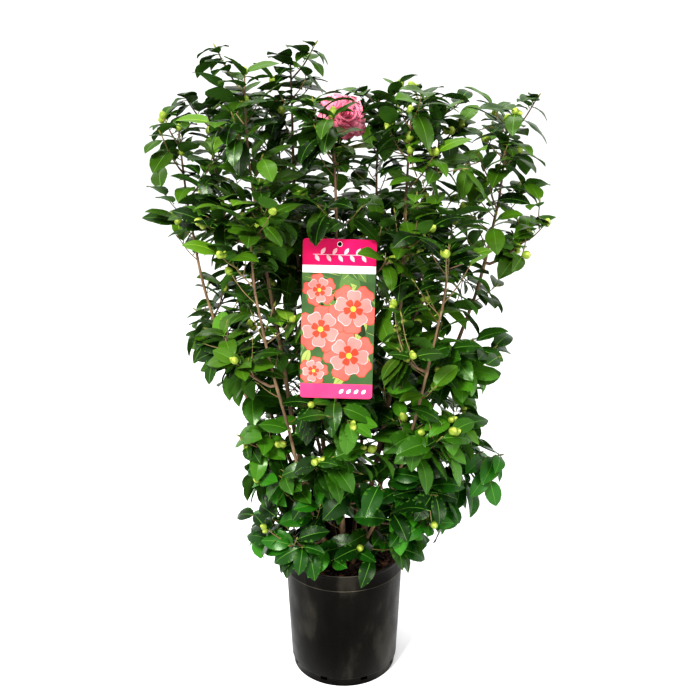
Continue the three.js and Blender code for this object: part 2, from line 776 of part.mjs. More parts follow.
function planMasses(stems, place) {
  const masses = [];
  const bloomStem = stems.find((stem) => stem.name === BLOOM.bough);
  const bloomCentre = vec(...BLOOM.at);
  const bloomFace = vec(0.35, -0.8, 0.5).normalize();
  place.bloom = { centre: bloomCentre, face: bloomFace };
  stems.forEach((stem) => {
    const isBloomStem = stem === bloomStem;
    const bloomAt = isBloomStem ? stepFrom(bloomCentre, bloomFace, -BLOOM.depth * 0.8) : null;
    masses.push({ name: `foliage_top_${stem.name}`, stem, level: null, seed: 900 + stem.index * 17, bloomAt });
  });
  Object.entries(LEVELS)
    .reverse()
    .forEach(([levelName, level], order) => {
      stems.forEach((stem) => {
        if (levelName === 'low' && BARE_BELOW.includes(stem.name)) return;
        const shift = LEVEL_SPREAD * (((stem.index * 5) % 12) / 11 - 0.5);
        masses.push({
          name: `foliage_${levelName}_${stem.name}`,
          stem,
          t: level.at + shift,
          level,
          seed: 100 * (order + 1) + stem.index * 13,
        });
      });
    });
  return masses.map((mass) => growMass(mass, place)).filter(Boolean);
}

// ---------------------------------------------------------------------------------------------
// Solids of a mass
// ---------------------------------------------------------------------------------------------

// A leaf of eight faces: an upright edge for its stalk, a folded blade, a ridge on top.
function leafGeometry(leaf, scale, extra) {
  const big = { ...leaf, length: leaf.length * scale + extra, width: leaf.width * scale + extra };
  const { middle, tip, left, right } = leafMarks(big);
  const half = LEAF.root / 2 + extra / 2;
  const root = stepFrom(leaf.root, leaf.along, LEAF.stalkFrom);
  const rootTop = stepFrom(root, leaf.up, half);
  const rootUnder = stepFrom(root, leaf.up, -half);
  const ridge = stepFrom(middle, leaf.up, LEAF.thickness + extra);
  const fold = -(LEAF.thickness * 0.2 + extra / 2);
  const edges = [left, right].map((p) => stepFrom(p, leaf.up, fold));
  return indexed(
    [rootTop, rootUnder, edges[0], edges[1], ridge, tip],
    [
      [0, 4, 2],
      [0, 3, 4],
      [2, 4, 5],
      [4, 3, 5],
      [1, 2, 3],
      [2, 5, 3],
      [0, 2, 1],
      [0, 1, 3],
    ],
  );
}

// A closed spindle: a point, rings, a point.
function spindle(points, radii, sides) {
  const whole = tube(points, radii, sides);
  return radii[0] < 0.01 || radii[radii.length - 1] < 0.01 ? welded(whole) : whole;
}

// A bud is a closed drop round the twig's end.
function budGeometry(bud, size) {
  const start = stepFrom(bud.at, bud.along, -BUD.inTwig);
  const stations = [
    [0, 0],
    [0.52, 1],
    [1, 0],
  ];
  return spindle(
    stations.map(([share]) => stepFrom(start, bud.along, share * BUD.length * size)),
    stations.map(([, radius]) => radius * BUD.radius * size),
    BUD.sides,
  );
}

// A side twig starts as a point inside its bough, so that it leaves through one clean neck.
function lateralGeometry(shoot, extra) {
  const axis = shoot.to.clone().sub(shoot.from).normalize();
  return spindle(
    [shoot.from, stepFrom(shoot.from, axis, LATERAL.neck), shoot.to],
    [0, LATERAL.girth + extra, LATERAL.tip + extra],
    3,
  );
}

// An open double bloom: one ruffled bowl of petals, closed at the back and domed in front.
function bloomGeometry(bloom) {
  const across = squareOn(bloom.face, UP);
  const other = bloom.face.clone().cross(across);
  const sides = BLOOM.petals * 2;
  const stations = [
    [0, -1, 0],
    [0.5, -0.75, 0],
    [1, 0.05, 1],
    [0.92, 0.35, 1],
    [0.5, 0.95, 0.4],
    [0, 1, 0],
  ];
  const corners = stations.flatMap(([out, along, ruffle]) =>
    Array.from({ length: sides }, (_, k) => {
      const angle = (2 * Math.PI * k) / sides;
      const radius = BLOOM.radius * out * (1 + BLOOM.ruffle * ruffle * (k % 2 ? -1 : 1));
      return stepFrom(
        stepFrom(stepFrom(bloom.centre, across, radius * Math.cos(angle)), other, radius * Math.sin(angle)),
        bloom.face,
        BLOOM.depth * along,
      );
    }),
  );
  const faces = [];
  for (let i = 0; i < stations.length - 1; i += 1)
    for (let k = 0; k < sides; k += 1) {
      const a = i * sides + k;
      const b = i * sides + ((k + 1) % sides);
      faces.push([a, b, b + sides], [a, b + sides, a + sides]);
    }
  return welded(indexed(corners, faces));
}

// How far a stem's flat-sided outline stands out in a direction, measured from its axis.
function stemReach(stem, t, out) {
  const { share, index } = stemSpan(stem, t);
  const centre = stemPoint(stem, t);
  const corners = Array.from({ length: STEM.sides }, (_, k) => {
    const low = cornerOf(stem, index, k);
    return low.lerp(cornerOf(stem, index + 1, k), share).sub(centre).dot(out);
  });
  return Math.max(...corners);
}

// Corner k of ring i of a stem's tube; ring 0 is the one under the soil's surface.
function cornerOf(stem, ring, k) {
  const position = stem.tube.attributes.position;
  return new THREE.Vector3().fromBufferAttribute(position, ring * STEM.sides + k);
}

// Every piece that is in its place, so that what is grown later can be kept clear of it.
class Register {
  constructor() {
    this.pieces = [];
  }

  add(solid, owner, shoot = null) {
    this.pieces.push({ solid, owner, shoot, box: solid.boundingBox() });
  }

  meets(solid, counts) {
    const box = solid.boundingBox();
    const boxesMeet = (other) => [0, 1, 2].every((i) => box.min[i] < other.max[i] && other.min[i] < box.max[i]);
    return this.pieces.some(
      (piece) => counts(piece) && boxesMeet(piece.box) && !solid.intersect(piece.solid).isEmpty(),
    );
  }

  // A piece may touch its own twig, no other piece of its mass, and stays well clear of everything else.
  hasRoom(solid, roomy, owner, shoot) {
    return (
      !this.meets(roomy, (piece) => piece.owner !== owner) &&
      !this.meets(solid, (piece) => piece.owner === owner && piece.shoot !== shoot)
    );
  }
}

const SPARE = 1.1; // how much larger a piece is made for the test that it is clear of other masses

// The main bough and side twigs of a mass. Shoots on the main bough share one twig.
function raiseTwigs(mass, register, bloom) {
  const { girth, tip } = mass.leader ? LEADER : BOUGH;
  const radii = mass.line.map((_, i) => girth + (tip - girth) * (i / (mass.line.length - 1)));
  const line = [...mass.line];
  const firstAxis = mass.leader
    ? stemDirection(mass.stem, STEM.bareShare)
    : line[1].clone().sub(line[0]).normalize();
  if (!mass.leader) {
    const reach = stemReach(mass.stem, mass.t, firstAxis) + 1.15 * GAP;
    line[0] = stepFrom(stemPoint(mass.stem, mass.t), firstAxis, reach);
  }
  mass.main = solidOf(tube(line, radii, 3, firstAxis));
  register.add(mass.main, mass.name, 'main');
  if (mass.shoots.some((shoot) => shoot.bloom)) {
    mass.bloom = solidOf(bloomGeometry(bloom));
    register.add(mass.bloom, mass.name, 'bloom');
  }
}

function raiseSideTwigs(mass, register) {
  mass.parts = mass.bloom ? [mass.main, mass.bloom] : [mass.main];
  mass.kept = mass.shoots.filter((shoot, i) => {
    if (i === 0 || shoot.inner) {
      shoot.key = 'main';
      return true;
    }
    shoot.key = `side ${i}`;
    const roomy = solidOf(lateralGeometry(shoot, SPARE));
    if (!shoot.bloom && register.meets(roomy, (piece) => piece.owner !== mass.name)) return false;
    const twig = solidOf(lateralGeometry(shoot, 0));
    register.add(twig, mass.name, shoot.key);
    mass.parts.push(twig);
    return true;
  });
}

function clothe(mass, register) {
  const attach = (solid, roomy, shoot) => {
    if (!register.hasRoom(solid, roomy, mass.name, shoot.key)) return false;
    register.add(solid, mass.name);
    mass.parts.push(solid);
    return true;
  };
  mass.kept.forEach((shoot) => {
    if (shoot.bloom || shoot.inner) return;
    shoot.buds.forEach((bud) => attach(solidOf(budGeometry(bud, 1)), solidOf(budGeometry(bud, 1.15)), shoot));
  });
  mass.kept.forEach((shoot) => {
    let owed = 0.45;
    shoot.leaves.forEach((leaf) => {
      owed += 1 / LEAF.solidEvery;
      if (owed < 1) return;
      const solid = solidOf(leafGeometry(leaf, LEAF.solidScale, 0));
      if (attach(solid, solidOf(leafGeometry(leaf, LEAF.solidScale, SPARE)), shoot)) owed -= 1;
    });
  });
  return largestBody(fuse(mass.parts));
}

// ---------------------------------------------------------------------------------------------
// Assembly
// ---------------------------------------------------------------------------------------------

const finish = (color, roughness) => new THREE.MeshStandardMaterial({ color, roughness, metalness: 0 });
const FINISH = {
  pot: finish(0x24231f, 0.5),
  soil: finish(0x2b1710, 0.95),
  bark: finish(0x7d6450, 0.85),
  foliage: finish(0x1f5a17, 0.35),
  label: finish(0xe8387f, 0.35),
};

const shrub = new THREE.Group();
const register = new Register();

function show(name, solid, material) {
  const mesh = new THREE.Mesh(geometryOf(solid), material);
  mesh.name = name;
  shrub.add(mesh);
}

function place(name, solid, material) {
  show(name, solid, material);
  register.add(solid, name);
}

place('pot', potSolid(), FINISH.pot);
place('soil', soilSolid(), FINISH.soil);

const stems = placeStems();
const labelStem = stems.find((stem) => stem.name === 'centre');
const frame = labelFrame(labelStem);
stems.forEach((stem) => {
  const bare = stemSolid(stem);
  place(`stem_${stem.name}`, stem === labelStem ? bare.add(pegSolid(frame)) : bare, FINISH.bark);
});
place('label', labelSolid(frame), FINISH.label);

const surroundings = new Surroundings(stems, frame);
const masses = planMasses(stems, surroundings);
masses.forEach((mass) => raiseTwigs(mass, register, surroundings.bloom));
masses.forEach((mass) => raiseSideTwigs(mass, register));
masses.forEach((mass) => show(mass.name, clothe(mass, register), FINISH.foliage));

export default shrub;
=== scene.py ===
import math

import bpy
import numpy as np
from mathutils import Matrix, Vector
from mathutils.geometry import tessellate_polygon


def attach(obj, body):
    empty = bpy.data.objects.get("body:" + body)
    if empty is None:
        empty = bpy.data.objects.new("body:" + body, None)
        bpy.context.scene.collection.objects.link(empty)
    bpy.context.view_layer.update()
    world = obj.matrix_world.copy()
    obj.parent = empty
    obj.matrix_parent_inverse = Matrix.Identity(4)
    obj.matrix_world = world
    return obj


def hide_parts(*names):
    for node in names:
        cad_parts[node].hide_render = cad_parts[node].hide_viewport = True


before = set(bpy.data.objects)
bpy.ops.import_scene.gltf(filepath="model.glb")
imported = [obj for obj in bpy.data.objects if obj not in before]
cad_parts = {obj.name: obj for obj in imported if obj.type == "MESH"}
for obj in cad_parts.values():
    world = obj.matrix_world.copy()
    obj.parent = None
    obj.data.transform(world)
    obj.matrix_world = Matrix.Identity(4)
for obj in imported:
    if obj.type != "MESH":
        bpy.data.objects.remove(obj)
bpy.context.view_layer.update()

# A camellia shrub in its nursery pot. Lengths are millimetres until a mesh is made, as in the part's source.

MM = 0.001


def table(*rows):
    return np.array(rows, float)


def new_object(name, data):
    made = bpy.data.objects.new(name, data)
    bpy.context.scene.collection.objects.link(made)
    return made


# ---- Camera ----

CAMERA = {"lens": 48.34, "sensor": 36, "place": (0.014, -1.946, 1.395), "down": 17.7, "sees_to": 50}


def add_camera():
    data = bpy.data.cameras.new("camera")
    data.lens = CAMERA["lens"]
    data.sensor_width = CAMERA["sensor"]
    data.clip_end = CAMERA["sees_to"]
    camera = new_object("camera", data)
    camera.location = CAMERA["place"]
    camera.rotation_euler = (math.radians(90 - CAMERA["down"]), 0, 0)
    bpy.context.scene.camera = camera


add_camera()

# ---- Sizes of the source, repeated ----

GAP = 0.3

POT = {
    "height": 297, "rim": 138, "body_foot": 124.5, "foot": 120.5, "foot_height": 20, "band": 40,
    "band_step": 1.6, "wall": 2.6, "floor": 4,
}
DRAIN = {"count": 8, "width": 16, "height": 9}
SOIL_LEVEL = 270

# Where each stem's tip is, and its girth at the soil (a radius).
STEMS = {
    "left_outer": ((-332, 0, 1240), 5.4),
    "left_back": ((-290, 130, 1272), 5.2),
    "left_front": ((-185, -100, 1352), 6.0),
    "centre_left": ((-107, 50, 1376), 6.2),
    "centre": ((-18, -108, 1278), 6.6),
    "centre_right": ((132, -75, 1278), 6.4),
    "right_inner": ((205, 105, 1270), 5.6),
    "right_outer": ((330, 0, 1258), 6.0),
    "front_left": ((-170, -215, 1085), 4.8),
    "front_right": ((200, -205, 1045), 4.8),
    "back_left": ((-150, 230, 1240), 5.2),
    "back_right": ((80, 235, 1290), 5.2),
}
STEM = {
    "foot_ring": 39, "lean_power": 1.75, "wobble": 8, "taper": 0.66, "flare": 0.4, "flare_height": 20,
    "rings": 6, "bare_share": 0.84,
}

LEVELS = {
    "low": {"at": 0.12, "rise": (4, 26), "length": 200, "droop": 0.72, "facing": 0.85, "leaf": 1},
    "middle": {"at": 0.36, "rise": (18, 42), "length": 190, "droop": 0.62, "facing": 0.8, "leaf": 0.98},
    "high": {"at": 0.62, "rise": (20, 48), "length": 175, "droop": 0.48, "facing": 0.5, "leaf": 0.93},
}
LEVEL_SPREAD = 0.17
BARE_BELOW = ("centre_left", "centre_right", "back_right", "right_inner")

# Height, middle and half width of the crown.
CROWN = table(
    (290, -8, 240), (370, 0, 258), (440, 75, 300), (550, 66, 304), (640, 50, 308), (730, 20, 345),
    (810, 12, 388), (890, 25, 352), (1005, 18, 350), (1065, 6, 450), (1150, 20, 445), (1300, 5, 390),
)
CROWN_DEPTH = 0.78
# Across the crown: how high its leaves may reach.
CROWN_TOP = table(
    (-440, 1150), (-390, 1290), (-335, 1345), (-284, 1400), (-110, 1430), (-47, 1375), (0, 1335),
    (178, 1305), (332, 1318), (394, 1275), (440, 1150),
)
CROWN_FOOT = 262
OPENING = {"left": -30, "right": 92, "back": 60, "floor": 372, "slope": 0.58}

BOUGH = {
    "girth": 3.1, "tip": 1.7, "elbow": 9, "segments": 3, "sway": 0.42, "laterals": 3, "space": 178,
    "leaf_reach": 76, "shortest": 95, "headings": 12, "depth_share": 0.45, "outward": 22,
}
LATERAL = {"girth": 1.6, "tip": 1.1, "length": 92, "sweep": 0.95, "lift": 0.3}
LEADER = {"girth": 2.6, "tip": 1.6, "droop": 0.4, "facing": 0.25, "leaf": 0.92, "sweep": 0.78}
LEAF = {
    "length": 90, "slimness": 0.47, "widest": 0.45, "on_bough": 8, "on_lateral": 6, "on_inner": 3,
    "spare": 11, "tries": 3, "rank": 2 * math.pi / 3, "stray": 0.5,
}
BUD = {"length": 21, "radius": 8.6, "in_twig": 6, "chance": 0.6}
BLOOM = {
    "radius": 54, "depth": 22, "bough": "centre", "at": (4, -10, 1272), "face": (0.35, -0.8, 0.5),
    "clearing": 40,
}
LABEL = {
    "width": 145, "length": 318, "thickness": 1.2, "corner": 7, "lean": 9, "twist": 1.6, "hole": 4.2,
    "hole_depth": 10, "slack": 1.05, "at": 0.751,
}
PEG = {"heading": -72, "rise": 16, "hangs_at": 24}
SEED = 3030
# Each use of a mass draws numbers of its own.
DRAWS = {"fine": 7, "leaves": 11, "buds": 13, "sprigs": 17, "tips": 19}
SEEDS = {"bloom": 77, "print": 9, "chips": 41}

# The source's leaves are larger than life, as each stands for more of them.
LIFE = {"length": 0.87, "width": 0.95}

# What the source leaves out: finer twigs between the others, within the same reach.
FINE = {
    "twigs": 3, "on_leader": 2, "length": 66, "leaves": 4, "spare": 12, "clear": 10, "fewest": 4,
    "under_top": 32, "bloom_clearing": 8, "opening_floor": 330, "budding": 0.4, "on_stem": 7,
    "along_stem": (-0.1, 0.2), "under_leader": (-0.14, -0.01), "girth": 1.25, "tip": 0.85,
}
FINE_TOP = table(
    (-440, 1120), (-390, 1240), (-284, 1330), (-110, 1385), (0, 1375), (178, 1345), (332, 1318),
    (394, 1275), (440, 1160),
)
# Smaller leaves, for a twig with few of its own and for the end of a leader.
FILLER = {"size": 0.8, "first": 0.3, "leaves": 4, "spare": 7}
LEADER_TIP = {"size": 0.62, "first": 0.7, "leaves": 5, "spare": 4, "over_top": 20}
BEYOND_LAST_LEAF = 7
# Low sprigs at the feet of stems: heading in degrees, height over the soil, length.
SPRIG_FOOT = 228
SPRIGS = {
    "centre": [(-112, 26, 62), (-70, 52, 50)],
    "front_left": [(-128, 38, 60), (-80, 60, 48), (-150, 62, 118)],
    "left_outer": [(-160, 84, 132), (-132, 66, 120), (174, 112, 140)],
    "front_right": [(-62, 34, 66), (-100, 62, 50), (-40, 52, 128)],
    "centre_right": [(-30, 46, 78), (-52, 78, 84)],
    "right_outer": [(-14, 60, 112), (-46, 44, 96), (-24, 84, 140)],
}

# ---- Small helpers ----

UP = np.array((0.0, 0.0, 1.0))


def vec(*values):
    return np.array(values, float)


def unit(v):
    return v / math.sqrt(v @ v)


def heading(angle, rise):
    return vec(math.cos(angle) * math.cos(rise), math.sin(angle) * math.cos(rise), math.sin(rise))


def units(rows):
    return rows / np.linalg.norm(rows, axis=1)[:, None]


def seeded(seed):
    """A small seeded generator of numbers from 0 to 1, the same as the source's."""
    state = seed & 0xFFFFFFFF

    def draw():
        nonlocal state
        state = (state + 0x6D2B79F5) & 0xFFFFFFFF
        t = (state ^ (state >> 15)) * (state | 1) & 0xFFFFFFFF
        t = (t ^ (t + (t ^ (t >> 7)) * (t | 61))) & 0xFFFFFFFF
        return (t ^ (t >> 14)) / 4294967296

    return draw


def draw_for(mass, use):
    return seeded(mass["seed"] + DRAWS[use] * SEED)


def square_on(axis, v):
    """The unit vector nearest to v that stands square on axis."""
    part = v - axis * (v @ axis)
    return unit(part) if part @ part > 1e-6 else square_on(axis, vec(1, 0, 0))


def tint(hexadecimal):
    """A colour written as RRGGBB, in linear light."""
    parts = [int(hexadecimal[i : i + 2], 16) / 255 for i in (0, 2, 4)]
    return tuple(p / 12.92 if p <= 0.04045 else ((p + 0.055) / 1.055) ** 2.4 for p in parts) + (1.0,)


# ---- Stems ----


class Stem:
    def __init__(self, name, index, angle):
        self.name, self.index = name, index
        self.top, self.girth = vec(*STEMS[name][0]), STEMS[name][1]
        ring = STEM["foot_ring"]
        self.foot = vec(ring * math.cos(angle), ring * math.sin(angle), SOIL_LEVEL + GAP)
        low = [STEM["bare_share"] * (i / STEM["rings"]) ** 1.35 for i in range(STEM["rings"] + 1)]
        self.shares = low + [0.895, 0.95, 1]
        self.centres = [self.centre(t) for t in self.shares]
        self.radii = [self.girth_at(t) for t in self.shares]

    def centre(self, t):
        lean = 1 - (1 - t) ** STEM["lean_power"]
        swing = STEM["wobble"] * math.sin(math.pi * t)
        run = self.top - self.foot
        across = self.foot[0] + run[0] * lean + swing * math.sin(7 * t + 2.1 * self.index)
        deep = self.foot[1] + run[1] * lean + swing * math.cos(6 * t + 1.3 * self.index)
        return vec(across, deep, self.foot[2] + t * run[2])

    def girth_at(self, t):
        rise = t * (self.top[2] - self.foot[2])
        return self.girth * (1 - STEM["taper"] * t + STEM["flare"] * math.exp(-rise / STEM["flare_height"]))

    def span(self, t):
        index = next((i for i, share in enumerate(self.shares) if share >= t), 1)
        index = min(max(index, 1), len(self.shares) - 1)
        return index, (t - self.shares[index - 1]) / (self.shares[index] - self.shares[index - 1])

    def point(self, t):
        i, share = self.span(t)
        return self.centres[i - 1] + (self.centres[i] - self.centres[i - 1]) * share

    def radius(self, t):
        i, share = self.span(t)
        return self.radii[i - 1] + (self.radii[i] - self.radii[i - 1]) * share

    def direction(self, t):
        i, _ = self.span(t)
        return unit(self.centres[i] - self.centres[i - 1])


def place_stems():
    lean = {name: math.atan2(top[1], top[0]) for name, (top, _) in STEMS.items()}
    order = sorted(STEMS, key=lean.get)
    start = lean[order[0]]
    return [
        Stem(name, i, start + 2 * math.pi * order.index(name) / len(order)) for i, name in enumerate(STEMS)
    ]


def label_frame(stem):
    out = heading(math.radians(PEG["heading"]), math.radians(PEG["rise"]))
    peg = stem.point(LABEL["at"])
    lean, twist = math.radians(LABEL["lean"]), math.radians(LABEL["twist"])
    down = vec(-math.sin(twist), -math.sin(lean) * math.cos(twist), -math.cos(lean) * math.cos(twist))
    face = square_on(down, vec(0, -1, 0.2))
    hole = peg + out * PEG["hangs_at"] + down * LABEL["slack"]
    return {
        "down": down,
        "face": face,
        "across": np.cross(down, face),
        "hole": hole,
        "centre": hole + down * (LABEL["length"] / 2 - LABEL["hole_depth"]),
    }


# ---- Growth: the source's rule for boughs, twigs, leaves and buds ----


class Cloud:
    """Points that things keep away from."""

    def __init__(self):
        self.points, self.count = np.zeros((4096, 3)), 0

    def push(self, points):
        points = np.asarray(points, float)
        while self.count + len(points) > len(self.points):
            self.points = np.vstack([self.points, np.zeros_like(self.points)])
        self.points[self.count : self.count + len(points)] = points
        self.count += len(points)

    def nearest(self, points, depth=1.0):
        if not self.count:
            return np.full(len(points), 1e9)
        apart = np.asarray(points)[:, None, :] - self.points[None, : self.count]
        apart[:, :, 1] *= depth
        return np.sqrt((apart**2).sum(2).min(1))


def samples_along(points):
    samples = []
    for a, b in zip(points, points[1:]):
        count = max(1, math.ceil(math.dist(a, b) / 10))
        samples += [a + (b - a) * (k / count) for k in range(1, count + 1)]
    return np.array(samples)


def inside_crown(points):
    x, y, z = np.asarray(points, float).T
    middle = np.interp(z, CROWN[:, 0], CROWN[:, 1])
    half = np.interp(z, CROWN[:, 0], CROWN[:, 2])
    return ((x - middle) / half) ** 2 + (y / (half * CROWN_DEPTH)) ** 2 < 1


def wall_radius(z):
    share = (z - POT["foot_height"]) / (POT["height"] - POT["foot_height"])
    return POT["body_foot"] + (POT["rim"] - POT["band_step"] - POT["body_foot"]) * share


class Surroundings:
    def __init__(self, stems, card):
        shares = [STEM["bare_share"] * i / 70 for i in range(71)]
        self.stem_points = np.array([stem.point(t) for stem in stems for t in shares])
        self.stem_radii = np.array([stem.radius(t) for stem in stems for t in shares])
        self.card = card
        self.bloom_at, self.bloom_face = vec(*BLOOM["at"]), unit(vec(*BLOOM["face"]))
        self.blades, self.twigs = Cloud(), Cloud()
        self.top, self.bloom_clearing, self.opening_floor = CROWN_TOP, BLOOM["clearing"], OPENING["floor"]
        self.lowest_tip = CROWN_FOOT

    def meets_stem(self, points, spare):
        apart = np.sqrt(((points[:, None] - self.stem_points[None]) ** 2).sum(2))
        return (apart < self.stem_radii + spare).any(1)

    def meets_label(self, points, spare):
        start = points - self.card["centre"]
        side = np.abs(start @ self.card["across"])
        down = start @ self.card["down"]
        front = start @ self.card["face"]
        in_card = (side < LABEL["width"] / 2 + spare) & (np.abs(down) < LABEL["length"] / 2 + spare)
        over_top = down < -LABEL["length"] / 2 + 34
        return in_card & (front > -spare) & ((front < spare) | ~over_top)

    def meets_pot(self, points, spare):
        out = np.hypot(points[:, 0], points[:, 1])
        z = points[:, 2]
        within = out < wall_radius(z) - POT["wall"] - spare
        return np.where(
            within, z < SOIL_LEVEL + spare, (out < POT["rim"] + spare) & (z < POT["height"] + spare)
        )

    def meets_bloom(self, points, spare):
        start = points - self.bloom_at
        along = start @ self.bloom_face
        out = np.sqrt(np.maximum((start**2).sum(1) - along * along, 0))
        on_bloom = (out / (BLOOM["radius"] + spare)) ** 2 + (along / (BLOOM["depth"] + spare)) ** 2 < 1
        aside = np.hypot(start[:, 0], start[:, 2])
        return on_bloom | ((start[:, 1] < 0) & (aside < self.bloom_clearing + spare))

    def meets_opening(self, points):
        x, y, z = points.T
        across = (x > OPENING["left"]) & (x < OPENING["right"]) & (y < OPENING["back"])
        return across & (z < self.opening_floor - OPENING["slope"] * np.minimum(y, 0))

    def meets_any(self, points, spare):
        return (
            self.meets_stem(points, spare)
            | self.meets_label(points, spare + 2)
            | self.meets_pot(points, spare + 2)
            | self.meets_opening(points)
            | self.meets_bloom(points, spare)
        )

    def is_clear(self, points, spare):
        samples = samples_along(points)
        return not self.meets_any(samples, 3.5).any() and (self.twigs.nearest(samples) > spare).all()


def leaf_marks(leaf):
    middle = leaf["root"] + leaf["along"] * leaf["length"] * LEAF["widest"] + leaf["up"] * leaf["arch"]
    tip = leaf["root"] + leaf["along"] * leaf["length"] * 0.97 - leaf["up"] * leaf["drop"]
    side = np.cross(leaf["up"], leaf["along"]) * leaf["width"] / 2
    beyond = middle + (tip - middle) * 0.55
    return np.array([middle, beyond, tip, middle + side, middle - side])


def grow_leaf(shoot, share, order, count, draw, place, space, spare):
    draws = [draw() for _ in range(6)]
    root = shoot["from"] + (shoot["to"] - shoot["from"]) * share
    axis = unit(shoot["to"] - shoot["from"])
    across = square_on(axis, UP)
    other = np.cross(axis, across)
    spread = math.radians(72 - 30 * (order / (count - 1)) + 16 * (draws[0] - 0.5))
    for turn in range(LEAF["tries"]):
        angle = LEAF["rank"] * (order + turn + 0.5) + LEAF["stray"] * (draws[0] - 0.5)
        out = across * math.cos(angle) + other * math.sin(angle)
        along = axis * math.cos(spread) + out * math.sin(spread)
        along[2] = max(along[2] - shoot["droop"] * (0.6 + 0.8 * draws[1]), -0.8)
        along = unit(along)
        skyward = vec(
            shoot["facing"] * axis[0] + 0.5 * (draws[2] - 0.5),
            shoot["facing"] * axis[1] + 0.5 * (draws[3] - 0.5),
            0.75 + 0.3 * axis[2],
        )
        length = LEAF["length"] * shoot["leaf"] * (0.8 + 0.38 * draws[4])
        leaf = {
            "root": root,
            "along": along,
            "up": square_on(along, skyward),
            "length": length,
            "width": length * LEAF["slimness"] * (0.93 + 0.16 * draws[5]),
            "arch": length * (0.05 + 0.05 * draws[1]),
            "drop": length * (0.03 + 0.16 * draws[3]),
        }
        points = leaf_marks(leaf)
        tip = points[2:3]
        free = (
            place.lowest_tip < tip[0, 2] < np.interp(tip[0, 0], *place.top.T)
            and inside_crown(tip)[0]
            and space.nearest(tip)[0] < BOUGH["space"]
            and not place.meets_any(points, 3).any()
            and (place.blades.nearest(points) > spare).all()
        )
        if free:
            place.blades.push(points)
            return leaf
    return None


def grow_shoot(shoot, first, count, draw, place, space, spare=LEAF["spare"]):
    leaves = []
    for i in range(count):
        share = first + (1 - first) * (i / (count - 1)) ** 0.85 * 0.98
        leaf = grow_leaf(shoot, share, i, count, draw, place, space, spare)
        if leaf:
            leaves.append(leaf)
    wants_bud = draw() < BUD["chance"]
    tilt = vec(0.5 * (draw() - 0.5), 0.5 * (draw() - 0.5), 0.2)
    shoot["leaves"] = leaves
    shoot["buds"] = []
    if wants_bud:
        shoot["buds"] = [{"at": shoot["to"], "along": unit(unit(shoot["to"] - shoot["from"]) + tilt)}]
    return shoot


def bough_line(stem, t, level, angle, length, bends):
    out = square_on(stem.direction(t), heading(angle, 0))
    start = stem.point(t) + out * (stem.radius(t) + GAP)
    points = [start, start + out * BOUGH["elbow"]]
    course = angle
    for k in range(BOUGH["segments"]):
        share = (k + 1) / BOUGH["segments"]
        rise = math.radians(level["rise"][0] + (level["rise"][1] - level["rise"][0]) * share)
        course += BOUGH["sway"] * (bends[k] - 0.5)
        points.append(points[-1] + heading(course, rise) * (length / BOUGH["segments"]))
    return points


def room_for(stem, t, angle, longest):
    reaches = np.arange(0, longest + BOUGH["leaf_reach"] + 10, 10)
    inside = inside_crown(stem.point(t) + reaches[:, None] * heading(angle, 0))
    goes_on = inside & (reaches < longest + BOUGH["leaf_reach"])
    reach = reaches[np.argmin(goes_on)]
    return max(min(reach - BOUGH["leaf_reach"], longest), BOUGH["shortest"])


def roomiest_line(stem, t, level, draw, place):
    outward = math.atan2(stem.top[1], stem.top[0])
    start = outward + 0.5 * (draw() - 0.5)
    bends = [draw() for _ in range(BOUGH["segments"])]
    best_room, best = -1e9, None
    for k in range(BOUGH["headings"]):
        angle = start + 2 * math.pi * k / BOUGH["headings"]
        line = bough_line(stem, t, level, angle, room_for(stem, t, angle, level["length"]), bends)
        if not place.is_clear(line[1:], 14):
            continue
        beyond = line[-1] + unit(line[-1] - line[-2]) * 40
        least = place.twigs.nearest([line[-2], line[-1], beyond], BOUGH["depth_share"]).min()
        way_out = 1 if inside_crown([beyond])[0] else 0.2
        room = min(least, 130) * way_out + BOUGH["outward"] * math.cos(angle - outward)
        if room > best_room:
            best_room, best = room, line
    return best


def along_line(line, share):
    lengths = [math.dist(a, b) for a, b in zip(line, line[1:])]
    left, i = share * sum(lengths), 0
    while i < len(lengths) - 1 and left > lengths[i]:
        left -= lengths[i]
        i += 1
    axis = unit(line[i + 1] - line[i])
    return line[i] + axis * left, axis


def grow_laterals(line, count, settings, habit, draw, place, space):
    shoots = []
    for k in range(count):
        draws = [draw() for _ in range(4)]
        share = settings["first"] + (settings["last"] - settings["first"]) * (k / (count - 1))
        start, axis = along_line(line, share)
        side = square_on(axis, np.cross(axis, UP))
        over = np.cross(side, axis)
        for turn in range(3):
            angle = settings["around"](k) + 0.7 * (draws[0] - 0.5) + turn * 1.1
            out = side * math.cos(angle) + over * math.sin(angle)
            aim = axis + out * settings["sweep"] * (0.85 + 0.4 * draws[1])
            aim[2] += settings["lift"] * draws[2]
            aim = unit(aim)
            to = start + aim * LATERAL["length"] * (0.8 + 0.4 * draws[3])
            root = start + aim * 14
            if space.nearest([to])[0] > BOUGH["space"] or not place.is_clear([root, to], 11):
                continue
            place.twigs.push(samples_along([root, to]))
            shoots.append({"from": start, "to": to, **habit})
            break
    return shoots


